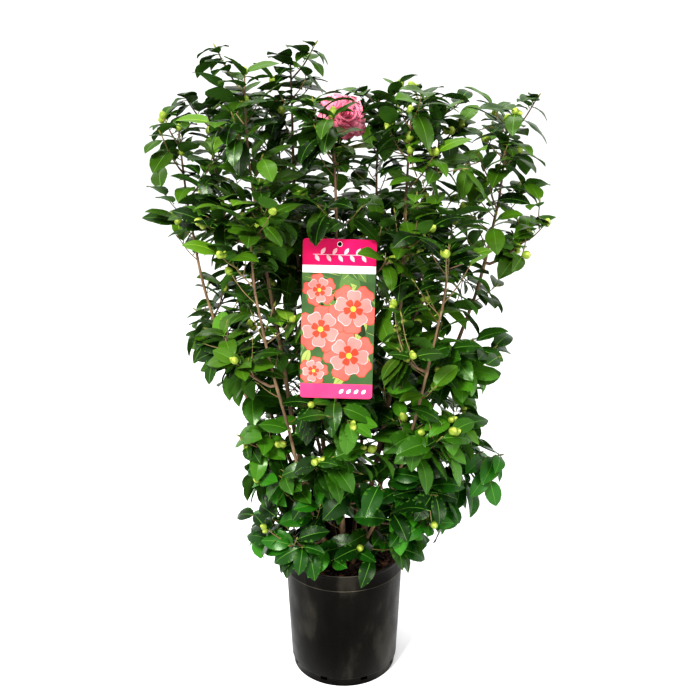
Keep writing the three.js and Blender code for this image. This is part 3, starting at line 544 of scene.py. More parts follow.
def grow_mass(mass, place):
    stem, level = mass["stem"], mass["level"]
    draw = seeded(mass["seed"] + SEED)
    if level:
        line = roomiest_line(stem, mass["t"], level, draw, place)
        if line is None:
            return None
        settings = {"first": 0.34, "last": 0.82, "sweep": LATERAL["sweep"], "lift": LATERAL["lift"]}
        settings["around"] = lambda k: (k % 2) * math.pi
    else:
        bare = STEM["bare_share"]
        line = [stem.point(bare) + stem.direction(bare) * GAP] + stem.centres[STEM["rings"] + 1 :]
        settings = {"first": 0.08, "last": 0.78, "sweep": LEADER["sweep"], "lift": 0.1}
        settings["around"] = lambda k: k * math.radians(137.5) + mass["seed"]
    space = Cloud()
    space.push(samples_along(line))
    place.twigs.push(samples_along(line))
    habit = {key: (level or LEADER)[key] for key in ("droop", "facing", "leaf")}
    laterals = grow_laterals(line, BOUGH["laterals"], settings, habit, draw, place, space)
    if mass["bloom_at"] is not None:
        laterals.insert(0, {"from": line[1], "to": mass["bloom_at"], **habit, "bloom": True})
    end = {"from": line[-2], "to": line[-1], **habit}
    inner = {"from": line[-3], "to": line[-2], **habit, "inner": True}
    shoots = [grow_shoot(end, 0, LEAF["on_bough"], draw, place, space)]
    for shoot in laterals:
        count = 2 if shoot.get("bloom") else LEAF["on_lateral"]
        shoots.append(grow_shoot(shoot, 0.3, count, draw, place, space))
    shoots.append(grow_shoot(inner, 0.1, LEAF["on_inner"], draw, place, space))
    return {**mass, "line": line, "shoots": shoots, "space": space, "habit": habit}


def plan_masses(stems, place):
    bloom_at = place.bloom_at - place.bloom_face * BLOOM["depth"] * 0.8
    masses = []
    for stem in stems:
        mass = {"name": f"foliage_top_{stem.name}", "stem": stem, "level": None, "t": STEM["bare_share"]}
        mass["seed"] = 900 + stem.index * 17
        mass["bloom_at"] = bloom_at if stem.name == BLOOM["bough"] else None
        masses.append(mass)
    for order, (level_name, level) in enumerate(reversed(LEVELS.items())):
        for stem in stems:
            if level_name == "low" and stem.name in BARE_BELOW:
                continue
            shift = LEVEL_SPREAD * (((stem.index * 5) % 12) / 11 - 0.5)
            mass = {"name": f"foliage_{level_name}_{stem.name}", "stem": stem, "level": level}
            mass.update(t=level["at"] + shift, seed=100 * (order + 1) + stem.index * 13, bloom_at=None)
            masses.append(mass)
    return [grown for grown in (grow_mass(mass, place) for mass in masses) if grown]


def grow_fine_twig(mass, start, aim, length, draw, place):
    """A twig that the source leaves out, with its leaves, if there is room for it."""
    aim = unit(aim)
    to = start + aim * length
    root = start + aim * 9
    roomy = (
        mass["space"].nearest([to])[0] < BOUGH["space"]
        and inside_crown([to + aim * 30])[0]
        and to[2] < np.interp(to[0], *place.top.T) - FINE["under_top"]
    )
    if not roomy or not place.is_clear([root, to], FINE["clear"]):
        return
    fine = {"from": start, "to": to, **mass["habit"], "fine": True}
    grow_shoot(fine, 0.3, FINE["leaves"], draw, place, mass["space"], FINE["spare"])
    if fine["leaves"]:
        place.twigs.push(samples_along([root, to]))
        mass["shoots"].append(fine)


def add_small_leaves(shoot, fill, draw, place, space):
    """More leaves on a twig, smaller than its own."""
    small = {**shoot, "leaf": fill["size"] * shoot["leaf"]}
    grow_shoot(small, fill["first"], fill["leaves"], draw, place, space, fill["spare"])
    shoot["leaves"] = shoot["leaves"] + small["leaves"]


def grow_fine(mass, place):
    """Twigs of the next order on the source's twigs, and short ones on the stem round the bough."""
    draw = draw_for(mass, "fine")
    stem = mass["stem"]
    twigs = FINE["twigs"] if mass["level"] else FINE["on_leader"]
    low, high = FINE["along_stem"] if mass["level"] else FINE["under_leader"]
    for shoot in list(mass["shoots"]):
        if len(shoot["leaves"]) < FINE["fewest"]:
            add_small_leaves(shoot, FILLER, draw, place, mass["space"])
        axis = unit(shoot["to"] - shoot["from"])
        side = square_on(axis, np.cross(axis, UP))
        over = np.cross(side, axis)
        for k in range(twigs):
            draws = [draw() for _ in range(5)]
            start = shoot["from"] + (shoot["to"] - shoot["from"]) * (0.2 + 0.65 * (k + draws[0]) / twigs)
            angle = 2 * math.pi * (draws[1] + k * 0.382)
            aim = axis * (0.4 + 0.5 * draws[2]) + side * math.cos(angle) + over * math.sin(angle)
            aim[2] += 0.25 - 0.4 * shoot["droop"] * draws[4]
            grow_fine_twig(mass, start, aim, FINE["length"] * (0.6 + 0.7 * draws[3]), draw, place)
    for k in range(FINE["on_stem"]):
        draws = [draw() for _ in range(3)]
        t = min(max(mass["t"] + low + (high - low) * (k + draws[0]) / FINE["on_stem"], 0.04), 0.82)
        aim = heading(2 * math.pi * (draws[1] + k * 0.382), math.radians(20 + 30 * draws[2]))
        grow_fine_twig(mass, stem.point(t), aim, FINE["length"] * (0.9 + 0.6 * draws[0]), draw, place)


def grow_tip_leaves(mass, place):
    """Small leaves round the end of a leader, which would be bare without them."""
    highest = max(mass["shoots"], key=lambda shoot: shoot["to"][2])
    add_small_leaves(highest, LEADER_TIP, draw_for(mass, "tips"), place, mass["space"])


def grow_sprigs(mass, place):
    """The low sprigs of a stem belong to the first of its masses below the crown's top ones."""
    stem, level = mass["stem"], mass["level"]
    if level is not LEVELS["low" if stem.name not in BARE_BELOW else "middle"]:
        return
    draw = draw_for(mass, "sprigs")
    mass = {**mass, "space": Cloud()}
    for angle, height, length in SPRIGS.get(stem.name, ()):
        start = stem.point(height / (stem.top[2] - stem.foot[2]))
        mass["space"].push([start])
        grow_fine_twig(mass, start, heading(math.radians(angle), math.radians(18)), length, draw, place)


def trim_bare_end(mass, shoot):
    """A twig ends just past its outermost leaf or side twig, with its buds there."""
    start, to, line = shoot["from"], shoot["to"], mass["line"]
    held = [leaf["root"] for leaf in shoot["leaves"]]
    if shoot.get("inner") or shoot.get("bloom") or not held:
        return
    axis = unit(to - start)
    for other in mass["shoots"]:
        along = (other["from"] - start) @ axis
        if along > 1 and math.dist(other["from"], start + axis * along) < 1:
            held.append(other["from"])
    reach = max((point - start) @ axis for point in held) + BEYOND_LAST_LEAF
    if reach < math.dist(start, to):
        shoot["to"] = start + axis * reach
        shoot["buds"] = [{**bud, "at": shoot["to"]} for bud in shoot["buds"]]
        if start is line[-2]:
            mass["line"] = [*line[:-1], shoot["to"]]


# ---- Meshes ----


class Pile:
    """Points and faces of many small forms that become one mesh. Faces have three or four corners."""

    def __init__(self):
        self.points, self.faces, self.paints, self.rims, self.count = [], [], [], [], 0

    def add(self, points, *groups, rim=None):
        """Each group is an array of faces and their paint, one for all or one for each."""
        points = np.asarray(points, float).reshape(-1, 3)
        for faces, paint in groups:
            faces = np.asarray(faces, int)
            self.faces.append(faces + self.count)
            self.paints.append(np.broadcast_to(np.asarray(paint, int), (len(faces),)))
        self.points.append(points)
        self.rims.append(np.zeros(len(points), bool) if rim is None else rim)
        self.count += len(points)

    def add_rings(self, rings, start, end, paint=0, paints=None):
        """A closed form of rings of points, turning left-handed out of its line, with a hub at either end."""
        rings = np.asarray(rings, float)
        count, sides = rings.shape[:2]
        hub, last = count * sides, (count - 1) * sides
        caps = fan(range(sides), hub, flip=True) + fan(range(last, last + sides), hub + 1)
        quads = grid_faces(count, sides, closed=True)
        points = np.vstack([rings.reshape(-1, 3), [start], [end]])
        self.add(points, (quads, paint if paints is None else paints), (caps, paint))

    def mesh(self, name, materials, smooth=True):
        mesh = bpy.data.meshes.new(name)
        points = np.vstack(self.points) * MM
        sizes = np.concatenate([np.full(len(f), f.shape[1]) for f in self.faces])
        corners = np.concatenate([f.ravel() for f in self.faces])
        mesh.vertices.add(len(points))
        mesh.vertices.foreach_set("co", points.astype(np.float32).ravel())
        mesh.loops.add(len(corners))
        mesh.loops.foreach_set("vertex_index", corners.astype(np.int32))
        mesh.polygons.add(len(sizes))
        mesh.polygons.foreach_set("loop_start", (np.cumsum(sizes) - sizes).astype(np.int32))
        for material in materials:
            mesh.materials.append(material)
        mesh.polygons.foreach_set("material_index", np.concatenate(self.paints).astype(np.int32))
        mesh.update(calc_edges=True)
        mesh.polygons.foreach_set("use_smooth", np.full(len(sizes), smooth))
        rims = np.concatenate(self.rims)
        if rims.any():
            ends = np.zeros(len(mesh.edges) * 2, np.int32)
            mesh.edges.foreach_get("vertices", ends)
            ends = ends.reshape(-1, 2)
            sharp = mesh.attributes.new("sharp_edge", "BOOLEAN", "EDGE")
            sharp.data.foreach_set("value", rims[ends[:, 0]] & rims[ends[:, 1]])
        mesh.validate()
        return mesh


def add_piece(pile, name, materials, slot, *nodes, smooth=True):
    """A mesh of the object, standing for the CAD nodes it replaces. Its slot is not used."""
    piece = new_object(name, pile.mesh(name, materials, smooth))
    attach(piece, "root")
    if nodes:
        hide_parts(*nodes)
    return piece


def grid_faces(rows, columns, closed=False):
    """Quads between rows of points; closed joins each row's last point to its first."""
    across = np.arange(columns if closed else columns - 1)
    a = (np.arange(rows - 1)[:, None] * columns + across).ravel()
    b = (np.arange(rows - 1)[:, None] * columns + (across + 1) % columns).ravel()
    return np.stack([a, b, b + columns, a + columns], 1)


def fan(ring, hub, flip=False):
    ring = list(ring)
    pairs = zip(ring, ring[1:] + ring[:1])
    return [(hub, b, a) if flip else (hub, a, b) for a, b in pairs]


def circle(count):
    return 2 * math.pi * np.arange(count) / count


def turned_rings(radii, heights, sides):
    """Level rings of points round the pot's axis."""
    angles = circle(sides)
    x, y = np.outer(radii, np.cos(angles)), np.outer(radii, np.sin(angles))
    return np.stack([x, y, np.repeat(np.asarray(heights, float)[:, None], sides, 1)], 2)


def ring_frames(points):
    """Two directions square on a line at each of its points, turning as little as they can."""
    steps = units(np.gradient(points, axis=0))
    side = square_on(steps[0], UP if abs(steps[0][2]) < 0.9 else vec(0, 1, 0))
    sides = []
    for step in steps:
        side = square_on(step, side)
        sides.append(side)
    sides = np.array(sides)
    return sides, np.cross(steps, sides)


def add_tube(pile, points, radii, sides, paint=0):
    """radii has one value for each point, or one for each point and side."""
    points = np.asarray(points, float)
    radii = np.asarray(radii, float)
    if radii.ndim == 1:
        radii = np.repeat(radii[:, None], sides, 1)
    one, other = ring_frames(points)
    angles = circle(sides)
    out = one[:, None] * np.cos(angles)[None, :, None] + other[:, None] * np.sin(angles)[None, :, None]
    pile.add_rings(points[:, None] + out * radii[:, :, None], points[0], points[-1], paint)


def smooth_line(points, step=9.0):
    """A line through the points with rounded bends, with a point about every step."""
    points = [np.asarray(p, float) for p in points]
    padded = [2 * points[0] - points[1]] + points + [2 * points[-1] - points[-2]]
    line = [points[0]]
    for a, b, c, d in zip(padded, padded[1:], padded[2:], padded[3:]):
        count = max(1, round(math.dist(b, c) / step))
        for k in range(1, count + 1):
            t = k / count
            bend, twist = 2 * a - 5 * b + 4 * c - d, 3 * b - a - 3 * c + d
            line.append(0.5 * (2 * b + (c - a) * t + bend * t**2 + twist * t**3))
    return np.array(line)


class Noise:
    """Smooth noise from a few waves whose directions and lengths are drawn once."""

    def __init__(self, seed, size, waves=24):
        draw = np.random.default_rng(seed)
        directions = units(draw.normal(size=(waves, 3)))
        lengths = size * np.exp(draw.uniform(-0.6, 0.6, waves))
        self.waves = directions * (2 * math.pi / lengths)[:, None]
        self.phases = draw.uniform(0, 2 * math.pi, waves)

    def __call__(self, points):
        points = np.asarray(points, float)
        return np.sin(points @ self.waves.T + self.phases).sum(-1) / math.sqrt(len(self.phases) / 2)


# ---- Materials ----


def stops(places, *colours):
    return [(place, tint(colour)) for place, colour in zip(places, colours)]


def new_material(name, colour, roughness, **values):
    """A principled material with its numbers set on the shader's own sockets."""
    material = bpy.data.materials.new(name)
    material.use_nodes = True
    shader = material.node_tree.nodes["Principled BSDF"]
    shader.inputs["Base Color"].default_value = colour
    shader.inputs["Roughness"].default_value = roughness
    for socket, value in values.items():
        shader.inputs[socket.replace("_", " ")].default_value = value
    return material, material.node_tree, shader


def link(tree, start, end):
    tree.links.new(start, end)


def noise_node(tree, scale, detail=4, stretch=(1, 1, 1)):
    """Noise in the object's own space, in cycles per metre."""
    place = tree.nodes.new("ShaderNodeTexCoord")
    mapping = tree.nodes.new("ShaderNodeMapping")
    mapping.inputs["Scale"].default_value = stretch
    texture = tree.nodes.new("ShaderNodeTexNoise")
    texture.inputs["Scale"].default_value = scale
    texture.inputs["Detail"].default_value = detail
    link(tree, place.outputs["Object"], mapping.inputs["Vector"])
    link(tree, mapping.outputs["Vector"], texture.inputs["Vector"])
    return texture


def drive(tree, shader, socket, texture, steps):
    """Lead a texture through a ramp, of colours or plain numbers, to one of the shader's sockets."""
    ramp = tree.nodes.new("ShaderNodeValToRGB")
    while len(ramp.color_ramp.elements) < len(steps):
        ramp.color_ramp.elements.new(0.5)
    for element, (place, colour) in zip(ramp.color_ramp.elements, steps):
        element.position = place
        element.color = colour if isinstance(colour, tuple) else (colour, colour, colour, 1)
    link(tree, texture.outputs["Fac"], ramp.inputs["Fac"])
    link(tree, ramp.outputs["Color"], shader.inputs[socket])


def add_bump(tree, shader, texture, height, strength=0.5):
    bump = tree.nodes.new("ShaderNodeBump")
    bump.inputs["Strength"].default_value = strength
    bump.inputs["Distance"].default_value = height
    link(tree, texture.outputs["Fac"], bump.inputs["Height"])
    link(tree, bump.outputs["Normal"], shader.inputs["Normal"])


def leaf_material(name, colour, roughness, shine=0.26):
    """Plain in colour, uneven in gloss, with a fine leathery relief."""
    material, tree, shader = new_material(name, tint(colour), roughness, Specular_IOR_Level=shine)
    shader.inputs["Specular Tint"].default_value = (0.86, 1, 0.74, 1)
    gloss = [(0.3, roughness * 0.8), (0.7, roughness * 1.3)]
    drive(tree, shader, "Roughness", noise_node(tree, 45, 3), gloss)
    add_bump(tree, shader, noise_node(tree, 260, 4), 0.0006)
    return material


def mottled_material(name, patches, roughness, scale, bump, bump_scale, stretch=(1, 1, 1), **values):
    """Colour that varies in patches, with relief."""
    material, tree, shader = new_material(name, patches[0][1], roughness, **values)
    drive(tree, shader, "Base Color", noise_node(tree, scale, 5, stretch), patches)
    add_bump(tree, shader, noise_node(tree, bump_scale, 5, stretch), bump)
    return material


# Blades of each zone from the oldest and darkest to the youngest and lightest. The upper zone's lightest
# tints are duller than the other zones': painted shade over the crown's top.
UPPER = ["112407", "1C3408", "2C460C", "3B5B10", "4A6C16", "5C7A24"]
MIDDLE = ["102707", "1A3809", "284D0D", "386412", "4A7917", "5F8624"]
LOWER = ["0C2806", "143B09", "1F520E", "2E6A13", "3F8019", "568C24"]
BLADES = {"top": UPPER, "high": UPPER, "middle": MIDDLE, "low": LOWER}
BLADE_GLOSS = [0.27, 0.28, 0.29, 0.31, 0.33, 0.35]
UNDERS = ["36581C", "54762A"]
RIBS = ["4A7424", "7C9A38"]
blade_materials = {
    zone: [leaf_material(f"leaf_{zone}_{i}", colour, BLADE_GLOSS[i]) for i, colour in enumerate(colours)]
    for zone, colours in BLADES.items()
}
under_and_rib_materials = (
    [leaf_material(f"leaf_under_{i}", colour, 0.6, shine=0.08) for i, colour in enumerate(UNDERS)]
    + [leaf_material(f"leaf_rib_{i}", colour, 0.45) for i, colour in enumerate(RIBS)]
)
UNDER_AT, RIB_AT = len(BLADE_GLOSS), len(BLADE_GLOSS) + len(UNDERS)

# ---- Leaves ----

TEETH = 6  # on each edge of a leaf
STALK = 0.09  # share of a leaf's length that is stalk
BLADE = {"rib": 0.95, "thickness": 0.55, "keel": 1.3, "notch": 0.5, "vein": 0.28}


def blade_stations():
    """Shares of the blade's length, and 1 where an edge stands at the tip of a tooth."""
    places, tips = [], []
    for k in range(TEETH):
        places += [k / TEETH, (k + 0.72) / TEETH]
        tips += [0, 1]
    return np.array(places + [1.0]), np.array(tips + [0])


STATIONS, TIPS = blade_stations()
OUTLINE = STATIONS**0.66 * (1 - STATIONS) ** 0.8
OUTLINE = OUTLINE / OUTLINE.max() * (1 - 0.22 * np.exp(-(((1 - STATIONS) / 0.07) ** 2)))
OUTLINE = np.maximum(OUTLINE, 0.012)
TOP, BOTTOM = 6, 3  # points across the face and across the underside
ROW = TOP + BOTTOM


def blade_faces():
    """Quads, what each shows (0 face, 1 rib, 2 underside), and the triangles that close both ends."""
    loop = [*range(TOP), 8, 7, 6]  # across the face, then back along the underside
    quads, kinds = [], []
    for i in range(len(STATIONS) - 1):
        low, high = i * ROW, (i + 1) * ROW
        for k, (a, b) in enumerate(zip(loop, loop[1:] + loop[:1])):
            quads.append((low + b, low + a, high + a, high + b))
            kinds.append(1 if k == 2 else 0 if k < TOP - 1 else 2)
    cap = [(0, 1, 6), (1, 2, 7), (1, 7, 6), (2, 3, 7), (3, 4, 8), (3, 8, 7), (4, 5, 8)]
    last = (len(STATIONS) - 1) * ROW
    ends = cap + [tuple(last + p for p in reversed(corner)) for corner in cap]
    return np.array(quads), np.array(kinds), np.array(ends)


BLADE_QUADS, QUAD_KINDS, BLADE_ENDS = blade_faces()
BLADE_RIM = np.tile(np.isin(np.arange(ROW), (0, TOP - 1)), len(STATIONS))


def add_leaf(pile, leaf, blade, young, draw):
    """One leaf: a stalk, and a folded, arched blade with a toothed edge and a rib."""
    length, half = leaf["length"] * LIFE["length"], leaf["width"] * LIFE["width"] / 2
    along, up = leaf["along"], leaf["up"]
    side = np.cross(up, along)
    reach = length * 0.97
    arch, drop = leaf["arch"] * LIFE["length"], leaf["drop"] * LIFE["length"]
    # A parabola through the root, the arch at 0.45 of the length and the drop at the tip.
    slope = (arch + 0.2025 * drop) / 0.2475
    curve = -drop - slope
    x = STALK + (1 - STALK) * STATIONS
    centre = leaf["root"] + along * (x * reach)[:, None] + up * (slope * x + curve * x * x)[:, None]
    tangent = units(along + up * ((slope + 2 * curve * x) / reach)[:, None])
    turn = (draw() - 0.5) * 0.7 * STATIONS
    across = side * np.cos(turn)[:, None] + up * np.sin(turn)[:, None]
    normal = units(np.cross(tangent, across))
    fold = 0.12 + 0.26 * draw()
    cup = 0.14 + 0.16 * draw()
    edge = half * OUTLINE - BLADE["notch"] * (1 - TIPS) * (OUTLINE > 0.1)
    rib = np.minimum(BLADE["rib"] * (1 - 0.7 * STATIONS), edge * 0.5)
    wave = (0.6 + 1.1 * draw()) * np.sin(2 * math.pi * np.outer([draw(), draw()], [1]) + 9 * STATIONS)
    vein = BLADE["vein"] * (2 * TIPS - 1) * (OUTLINE > 0.35)

    def at(y, lift, swing=0.0):
        rise = np.abs(y) * fold - y * y * cup / half
        rise = rise + swing * (y / half) ** 2 + lift
        return centre + across * y[:, None] + normal * rise[:, None]

    middle = edge * 0.52
    rows = [
        at(-edge, 0.0, wave[0]),
        at(-middle, vein, wave[0]),
        at(-rib, -0.12),
        at(rib, -0.12),
        at(middle, vein, wave[1]),
        at(edge, 0.0, wave[1]),
        at(-middle, vein - BLADE["thickness"], wave[0]),
        at(rib * 0, -BLADE["keel"] * (1 - 0.6 * STATIONS)),
        at(middle, vein - BLADE["thickness"], wave[1]),
    ]
    points = np.stack(rows, 1).reshape(-1, 3)
    under, ribs = UNDER_AT + young, RIB_AT + young
    paint = np.choose(QUAD_KINDS, [blade, ribs, under])
    pile.add(points, (BLADE_QUADS, paint), (BLADE_ENDS, under), rim=BLADE_RIM)
    bend = [leaf["root"], (leaf["root"] + centre[0]) / 2 - up * 0.3, centre[0] + along * 2]
    add_tube(pile, bend, [1.25, 0.95, 0.8], 5, ribs)


def blade_for(shoot, draw):
    """The tint of a spray's blades: lighter at the crown's middle heights than at its foot and top. The
    darker top is painted shade; the darker foot is older leaves with painted shade.
    """
    height = (shoot["to"][2] - SOIL_LEVEL) / (CROWN_TOP.max() - SOIL_LEVEL)
    light = 2.0 - 1.1 * (2 * height - 1) ** 2 + 3.4 * (draw() - 0.5)
    return int(min(max(round(light), 0), len(BLADE_GLOSS) - 2))


# ---- Growing the shrub ----

stems = place_stems()
card = label_frame(next(stem for stem in stems if stem.name == "centre"))
place = Surroundings(stems, card)
masses = plan_masses(stems, place)
place.top = FINE_TOP
place.bloom_clearing, place.opening_floor = FINE["bloom_clearing"], FINE["opening_floor"]
for mass in masses:
    grow_fine(mass, place)
place.top = CROWN_TOP + (0, LEADER_TIP["over_top"])
for mass in masses:
    if not mass["level"]:
        grow_tip_leaves(mass, place)
place.opening_floor, place.lowest_tip = 0, SPRIG_FOOT
for mass in masses:
    grow_sprigs(mass, place)
    for shoot in mass["shoots"]:
        trim_bare_end(mass, shoot)

ZONES = ("top", "high", "middle", "low")


def zone_of(mass):
    return mass["name"].split("_")[1]


MOST_LEAVES = 640  # in one piece


def in_parts(group):
    """The zone's masses, dealt into as few parts as keep each under the most leaves."""
    total = sum(len(shoot["leaves"]) for mass in group for shoot in mass["shoots"])
    count = math.ceil(total / MOST_LEAVES)
    return [group[k::count] for k in range(count)]


def add_foliage():
    """Each zone's leaves are one piece, or two where they are many."""
    for zone in ZONES:
        for k, group in enumerate(in_parts([mass for mass in masses if zone_of(mass) == zone])):
            pile = Pile()
            for mass in group:
                draw = draw_for(mass, "leaves")
                for shoot in mass["shoots"]:
                    blade = blade_for(shoot, draw)
                    last = len(shoot["leaves"]) - 1
                    for i, leaf in enumerate(shoot["leaves"]):
                        tip = i == last and zone == "top"
                        add_leaf(pile, leaf, blade + int(tip), int(blade + tip >= 4), draw)
            nodes = [mass["name"] for mass in group]
            materials = blade_materials[zone] + under_and_rib_materials
            add_piece(pile, f"leaves_{zone}_{k + 1}", materials, "foliage", *nodes)


add_foliage()

# ---- Bark: stems, boughs and twigs ----

# Age of the bark: places and tints of its patches, roughness, their scale, relief, its scale, stretch.
BARKS = {
    "old": ((0.3, 0.5, 0.72), ("4A3826", "665038", "86704F"), 0.8, 60, 0.0012, 240, (1, 1, 0.35)),
    "young": ((0.3, 0.55, 0.8), ("4A3424", "604832", "786040"), 0.65, 90, 0.0006, 320, (1, 1, 0.5)),
    "new": ((0.3, 0.55, 0.75), ("5E422A", "665632", "666C34"), 0.5, 70, 0.0004, 300, (1, 1, 1)),
}
barks = [
    mottled_material(f"bark_{age}", stops(places, *tints), *rest)
    for age, (places, tints, *rest) in BARKS.items()
]

STEM_SIDES = 16
FISSURE_STRETCH = 0.22  # less than 1: the bark's fissures run along the stem
SCARS_APART = 47
coarse, fine = Noise(5, 26), Noise(6, 7)


def add_stem(stem, boughs):
    """A stem with fissures along it, a ring at each old leaf's scar, and a swelling under each bough."""
    line = smooth_line(stem.centres[: STEM["rings"] + 1], 6)
    heights = np.linalg.norm(line - line[0], axis=1)
    share = heights / heights[-1] * STEM["bare_share"]
    radii = np.array([stem.girth_at(t) for t in share])
    around = turned_rings(np.full(len(line), 9), heights * FISSURE_STRETCH + stem.index * 50, STEM_SIDES)
    relief = 1 + 0.05 * coarse(around) + 0.035 * fine(around)
    scar = np.exp(-(((heights % SCARS_APART) / 3.2) ** 2)) * 0.09
    swelling = sum((np.exp(-(((share - t) / 0.012) ** 2)) * 0.22 for t in boughs), np.zeros(len(share)))
    pile = Pile()
    add_tube(pile, line, radii[:, None] * relief * (1 + scar + swelling)[:, None], STEM_SIDES)
    add_piece(pile, f"bark_{stem.name}", barks[:1], "bark", f"stem_{stem.name}")


def add_twig(pile, points, step, girths, knots, sides, bark):
    """A tapering twig; knots are their number, width and height."""
    path = smooth_line(points, step)
    shares = np.linspace(0, 1, len(path))
    number, width, height = knots
    swelling = 1 + height * np.exp(-((((shares * number) % 1) / width) ** 2))
    thick, thin = girths
    add_tube(pile, path, (thick + (thin - thick) * shares) * swelling, sides, bark)


def add_twigs():
    """Each zone's boughs, leaders and twigs are one piece."""
    lateral, fine_twig = (LATERAL["girth"] + 0.2, LATERAL["tip"]), (FINE["girth"], FINE["tip"])
    for zone in ZONES:
        group = [mass for mass in masses if zone_of(mass) == zone]
        pile = Pile()
        for mass in group:
            line, limb = mass["line"], BOUGH if mass["level"] else LEADER
            root = line[0] + unit(line[0] - line[1]) * 3.2
            add_twig(pile, [root, *line], 8, (limb["girth"], limb["tip"]), (14, 0.2, 0.16), 8, 1)
            for shoot in mass["shoots"]:
                start, to = shoot["from"], shoot["to"]
                if shoot.get("inner") or start is line[-2]:
                    continue
                bow = square_on(unit(to - start), UP) * math.dist(start, to) * 0.05
                girths = fine_twig if shoot.get("fine") else lateral
                add_twig(pile, [start, (start + to) / 2 - bow, to], 9, girths, (6, 0.25, 0.2), 6, 2)
        add_piece(pile, f"twigs_{zone}", barks, "bark", *[mass["name"] for mass in group])


for stem in stems:
    add_stem(stem, [mass["t"] for mass in masses if mass["stem"] is stem and mass["level"]])
add_twigs()

# ---- Buds ----

bud_materials = [
    leaf_material("bud_outer", "72842C", 0.42),
    leaf_material("bud_inner", "9AA648", 0.42),
    leaf_material("bud_shoot", "6E6A34", 0.5),
]
BUD_SIDES, BUD_RINGS = 14, 12
TWIN_CHANCE = 0.45


def add_bud(pile, bud, size, draw):
    """A plump flower bud: rows of scales, each overlapping the next row up."""
    along = bud["along"]
    side = square_on(along, UP if abs(along[2]) < 0.9 else vec(1, 0, 0))
    over = np.cross(along, side)
    start = bud["at"] - along * BUD["in_twig"] * 0.5
    v = np.linspace(0, 1, BUD_RINGS)[1:-1]
    angles = circle(BUD_SIDES) + draw() * 6
    profile = np.sin(math.pi * v**0.85) ** 0.72
    scales = np.zeros((len(v), BUD_SIDES))
    for row in range(4):
        lobes = np.abs(np.cos(1.5 * angles + row * math.pi / 2)) ** 0.7
        border = 0.24 + row * 0.19 + 0.2 * lobes
        scales += border[None] > v[:, None]
    radii = BUD["radius"] * size * profile[:, None] * (0.9 + 0.035 * scales)
    out = side[None] * np.cos(angles)[:, None] + over[None] * np.sin(angles)[:, None]
    ring = start + along * (v * BUD["length"] * size)[:, None, None] + out[None] * radii[:, :, None]
    paints = np.where(scales[:-1].ravel() >= 2, 0, 1)
    pile.add_rings(ring, start, start + along * BUD["length"] * size, 1, paints)


def add_shoot_bud(pile, shoot):
    """The slender bud that ends a twig without flower buds."""
    along = unit(shoot["to"] - shoot["from"])
    shares = np.array([0, 0.3, 0.65, 1])
    points = shoot["to"] - along + (shares * 13)[:, None] * along
    add_tube(pile, points, [1.2, 2.1, 1.5, 0.3], 6, 2)


def add_buds():
    pile = Pile()
    for mass in masses:
        draw = draw_for(mass, "buds")
        for shoot in mass["shoots"]:
            bare = len(shoot["leaves"]) < 2 and not shoot.get("inner")
            if shoot.get("bloom") or bare:
                continue
            buds = [] if shoot.get("fine") and draw() > FINE["budding"] else shoot["buds"]
            for bud in buds:
                size = 0.8 + 0.28 * draw()
                add_bud(pile, bud, size, draw)
                if draw() < TWIN_CHANCE:
                    lean = square_on(bud["along"], vec(draw() - 0.5, draw() - 0.5, 0.1))
                    beside = bud["at"] + lean * 4 - bud["along"] * 3
                    twin = {"at": beside, "along": unit(bud["along"] + lean * 1.3)}
                    add_bud(pile, twin, size * (0.7 + 0.25 * draw()), draw)
            if not buds and not shoot.get("inner"):
                add_shoot_bud(pile, shoot)
    add_piece(pile, "buds", bud_materials, "foliage")


add_buds()

# ---- Bloom ----

# Petal tints from the outer whorls to the inner ones; the darker inner tints are painted shade in the bloom's
# heart.
PETALS = [("DE6C86", "EA96A8"), ("D45A78", "E28098"), ("C6486A", "D86C86")]
petal_materials = [
    mottled_material(f"petal_{i}", stops((0.35, 0.7), *pair), 0.55, 70, 0.0008, 160, Sheen_Weight=0.25)
    for i, pair in enumerate(PETALS)
]
# Each whorl: petals, length, width, how far it opens from the bloom's axis in degrees, tint.
WHORLS = [
    (8, 54, 44, 86, 0),
    (8, 47, 40, 70, 0),
    (8, 39, 33, 54, 1),
    (7, 32, 27, 38, 1),
    (7, 25, 21, 24, 2),
    (5, 19, 15, 10, 2),
]
PETAL_ROWS, PETAL_COLUMNS = 8, 7


def add_petal(pile, centre, out, face, length, width, opening, paint, draw):
    side = np.cross(face, out)
    u = np.linspace(-1, 1, PETAL_COLUMNS)
    s = np.linspace(0, 1, PETAL_ROWS)
    breadth = np.sin(math.pi * np.minimum(s * 0.62 + 0.05, 0.62)) ** 0.8
    breadth = breadth * np.sqrt(np.clip(1.04 - s**6, 0.02, 1))
    bend = opening + (0.5 - draw() * 0.25) * s**2
    step = length / (PETAL_ROWS - 1)
    reach = np.concatenate([[0], np.cumsum(np.sin(bend[1:]))]) * step
    rise = np.concatenate([[0], np.cumsum(np.cos(bend[1:]))]) * step
    ripple = 2.4 * np.outer(s**2, np.sin(3.1 * u + draw() * 6))
    ripple = ripple + 1.2 * np.outer(s**3, np.sin(9 * u + draw() * 6))
    cup = np.outer(s, u**2) * width * 0.16
    notch = 1 - 0.1 * np.outer(s**4, np.exp(-((u / 0.3) ** 2)))
    y = np.outer(breadth, u) * width / 2
    across = out * (reach[:, None] * notch)[:, :, None]
    lift = face * (rise[:, None] + ripple + cup)[:, :, None]
    top = centre + across + lift + side * y[:, :, None]
    rim = np.ones((PETAL_ROWS, PETAL_COLUMNS), bool)
    rim[1:-1, 1:-1] = False
    back = top - face * np.where(rim, 0, 0.7)[:, :, None]
    count = PETAL_ROWS * PETAL_COLUMNS
    behind = np.where(rim.ravel(), np.arange(count), np.arange(count, 2 * count))
    faces = grid_faces(PETAL_ROWS, PETAL_COLUMNS)
    points = np.vstack([top.reshape(-1, 3), back.reshape(-1, 3)])
    pile.add(points, (faces[:, ::-1], paint), (behind[faces], paint))


